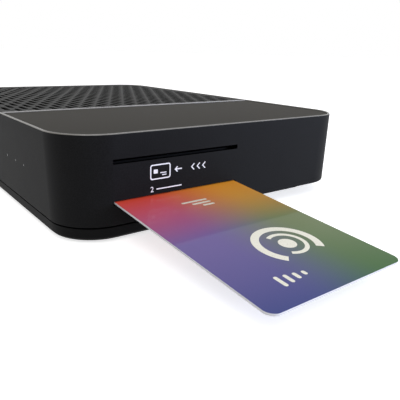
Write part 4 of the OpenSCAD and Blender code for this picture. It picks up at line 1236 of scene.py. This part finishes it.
def repeated(bm, places):
    # one bmesh copied to each place
    copies = []
    for place in places:
        copy = bm.copy()
        copy.transform(Matrix.Translation(place))
        copies.append(copy)
    bm.free()
    return joined(*copies)


def crossed(bm, arm, half, low, high):
    # a cross cut into the top of a turned piece
    for across, along in ((arm, half), (half, arm)):
        bm = boolean(bm, box((-across, -along, low), (across, along, high)))
    return bm


screws = {"shank": 1.1, "caseShank": 1.45, "crossWide": 0.55, "dome": 0.35}


def makeScrews(node, shank, headHeight, headDown):
    # pan heads with a cross, shanks with a pointed end
    boxes = looseBoxes(node)
    low, high = boxes[0]
    radius = (high.x - low.x) / 2
    long = high.z - low.z
    bm = lathe([(0, 0), (shank * 0.6, 0), (shank, 0.5), (shank, long - headHeight),
                (radius, long - headHeight, 0.12), (radius, long - 0.3 * headHeight, screws["dome"]),
                (radius * 0.6, long, screws["dome"]), (0, long)], 28, 3)
    bm = crossed(bm, radius * 0.62, screws["crossWide"] / 2, long - headHeight * 0.55, long + 1)
    if headDown:
        bm.transform(Matrix.Rotation(math.pi, 4, "X"))
        bm.transform(Matrix.Translation((0, 0, long)))
    standFor(node, repeated(bm, [underneath(*pair) for pair in boxes]))


def makeCapacitors():
    # a sleeved can, crimped near its foot, with a bare top that is scored to vent
    bm = lathe([(0, 0), (3.5, 0), (3.8, 0.3, 0.15), (4, 0.9, 0.2), (4, 1.9, 0.25), (3.7, 2.3, 0.25),
                (4, 2.7, 0.25), (4, 11, 0.5), (3.35, 11, 0.1), (3.25, 10.75, 0.1), (0, 10.75)], 40)
    bm = crossed(bm, 2.3, 0.16, 10.6, 12)
    for face in bm.faces:
        middle = face.calc_center_median()
        face.material_index = int(math.hypot(middle.x, middle.y) < 3.3 and middle.z > 9)
    places = [underneath(*pair) for pair in looseBoxes("capacitors")]
    standFor("capacitors", repeated(bm, places), finishes["crystal_steel"])


def makeMemory():
    # flat packages with a row of legs on two sides
    bodies = []
    for low, high in looseBoxes("memory_chips"):
        body = sharpEdges(box(low + Vector((0.9, 0, 0.12)), high - Vector((0.9, 0, 0))), 0.12)
        dimple = lathe([(0, 0), (0.45, 0), (0.45, 1), (0, 1)], 20,
                       place=Matrix.Translation((low.x + 1.9, high.y - 1, high.z - 0.08)))
        bodies.append(boolean(body, dimple))
        count = int(high.y - low.y - 1)
        for i in range(count):
            y = (low.y + high.y) / 2 + i - (count - 1) / 2
            bodies += [inked(box((x, y - 0.2, low.z), (x + 1, y + 0.2, low.z + 0.3)), 1)
                       for x in (low.x, high.x - 1)]
    standFor("memory_chips", joined(*bodies), finishes["sheet_steel"])


def makeInductors():
    coils = []
    for low, high in looseBoxes("inductors"):
        coil = roundOff(box(low, high), 1.4, upright, 3)
        roundOff(coil, 0.25, lambda mid, way: lyingFlat(mid, way) and mid.z > high.z - 0.01, 2)
        x, y = underneath(low, high)[:2]
        ring = lathe([(2.5, -0.2), (2.9, -0.2), (2.9, 1), (2.5, 1)], 40, hollow=True,
                     place=Matrix.Translation((x, y, high.z)))
        coils.append(boolean(coil, ring))
    standFor("inductors", joined(*coils))


def makeRegulators():
    # three legs and a tab under a small package
    packages = []
    for low, high in looseBoxes("regulators"):
        body = box(low + Vector((0.9, 0.2, 0.15)), high - Vector((0.5, 0.2, 0)))
        tab = box((high.x - 1.2, low.y + 0.4, low.z), (high.x, high.y - 0.4, low.z + 0.35))
        packages += [sharpEdges(body, 0.18), inked(tab, 1)]
        for y in (-1.9, 0, 1.9):
            middle = (low.y + high.y) / 2 + y
            leg = box((low.x, middle - 0.35, low.z), (low.x + 1.2, middle + 0.35, low.z + 0.4))
            packages.append(inked(leg, 1))
    standFor("regulators", joined(*packages), finishes["sheet_steel"])


def makeCrystal():
    low, high = looseBoxes("crystal")[0]
    flange = roundOff(box(low, (high.x, high.y, low.z + 0.45)), 2.2, upright, 8)
    can = roundOff(box(low + Vector((0.4, 0.4, 0.3)), high - Vector((0.4, 0.4, 0))), 1.85, upright, 8)
    roundOff(can, 0.45, lambda mid, way: lyingFlat(mid, way) and mid.z > high.z - 0.01, 3)
    standFor("crystal", joined(flange, can))


tongues = {
    "hdmi_tongue": {"low": (12.2, 56.69, 12.6), "high": (23.8, 65.69, 13.9), "contacts": 10},
    "usb_tongue": {"low": (-25.5, 54.69, 14.3), "high": (-14.5, 64.19, 16.2), "contacts": 4},
}


def makeTongues():
    # contact strips lie on the tongues of the two rear sockets
    for node, tongue in tongues.items():
        low = tongue["low"]
        high = tongue["high"]
        count = tongue["contacts"]
        pitch = (high[0] - low[0] - 1) / count
        half = pitch * 0.28
        strips = []
        for i in range(count):
            x = (low[0] + high[0]) / 2 + (i - (count - 1) / 2) * pitch
            strips.append(box((x - half, low[1] + 1, low[2] - 0.04),
                              (x + half, high[1] - 0.6, low[2] + 0.2)))
        standFor(node, printed(sharpEdges(box(low, high), 0.2), strips, 1), finishes["contact_gold"])


softened = {
    "main_processor": 0.3, "thermal_pad": 0.12, "heatsink": 0.18, "tuner_lid": 0.3, "link_socket": 0.2,
    "cable_sockets": 0.25, "infrared_receiver": 0.4, "indicator_lamps": 0.15, "standby_switch": 0.2,
}

makeScrews("case_screws", screws["caseShank"], 1.8, True)
makeScrews("board_screws", screws["shank"], 1.5, False)
makeScrews("reader_screws", screws["shank"], 1.2, True)
makeScrews("reader_board_screws", screws["shank"], 1.5, False)
makeCapacitors()
makeMemory()
makeInductors()
makeRegulators()
makeCrystal()
makeTongues()
for node, radius in softened.items():
    standFor(node, sharpEdges(cadCopy(node), radius))
print("inside made")
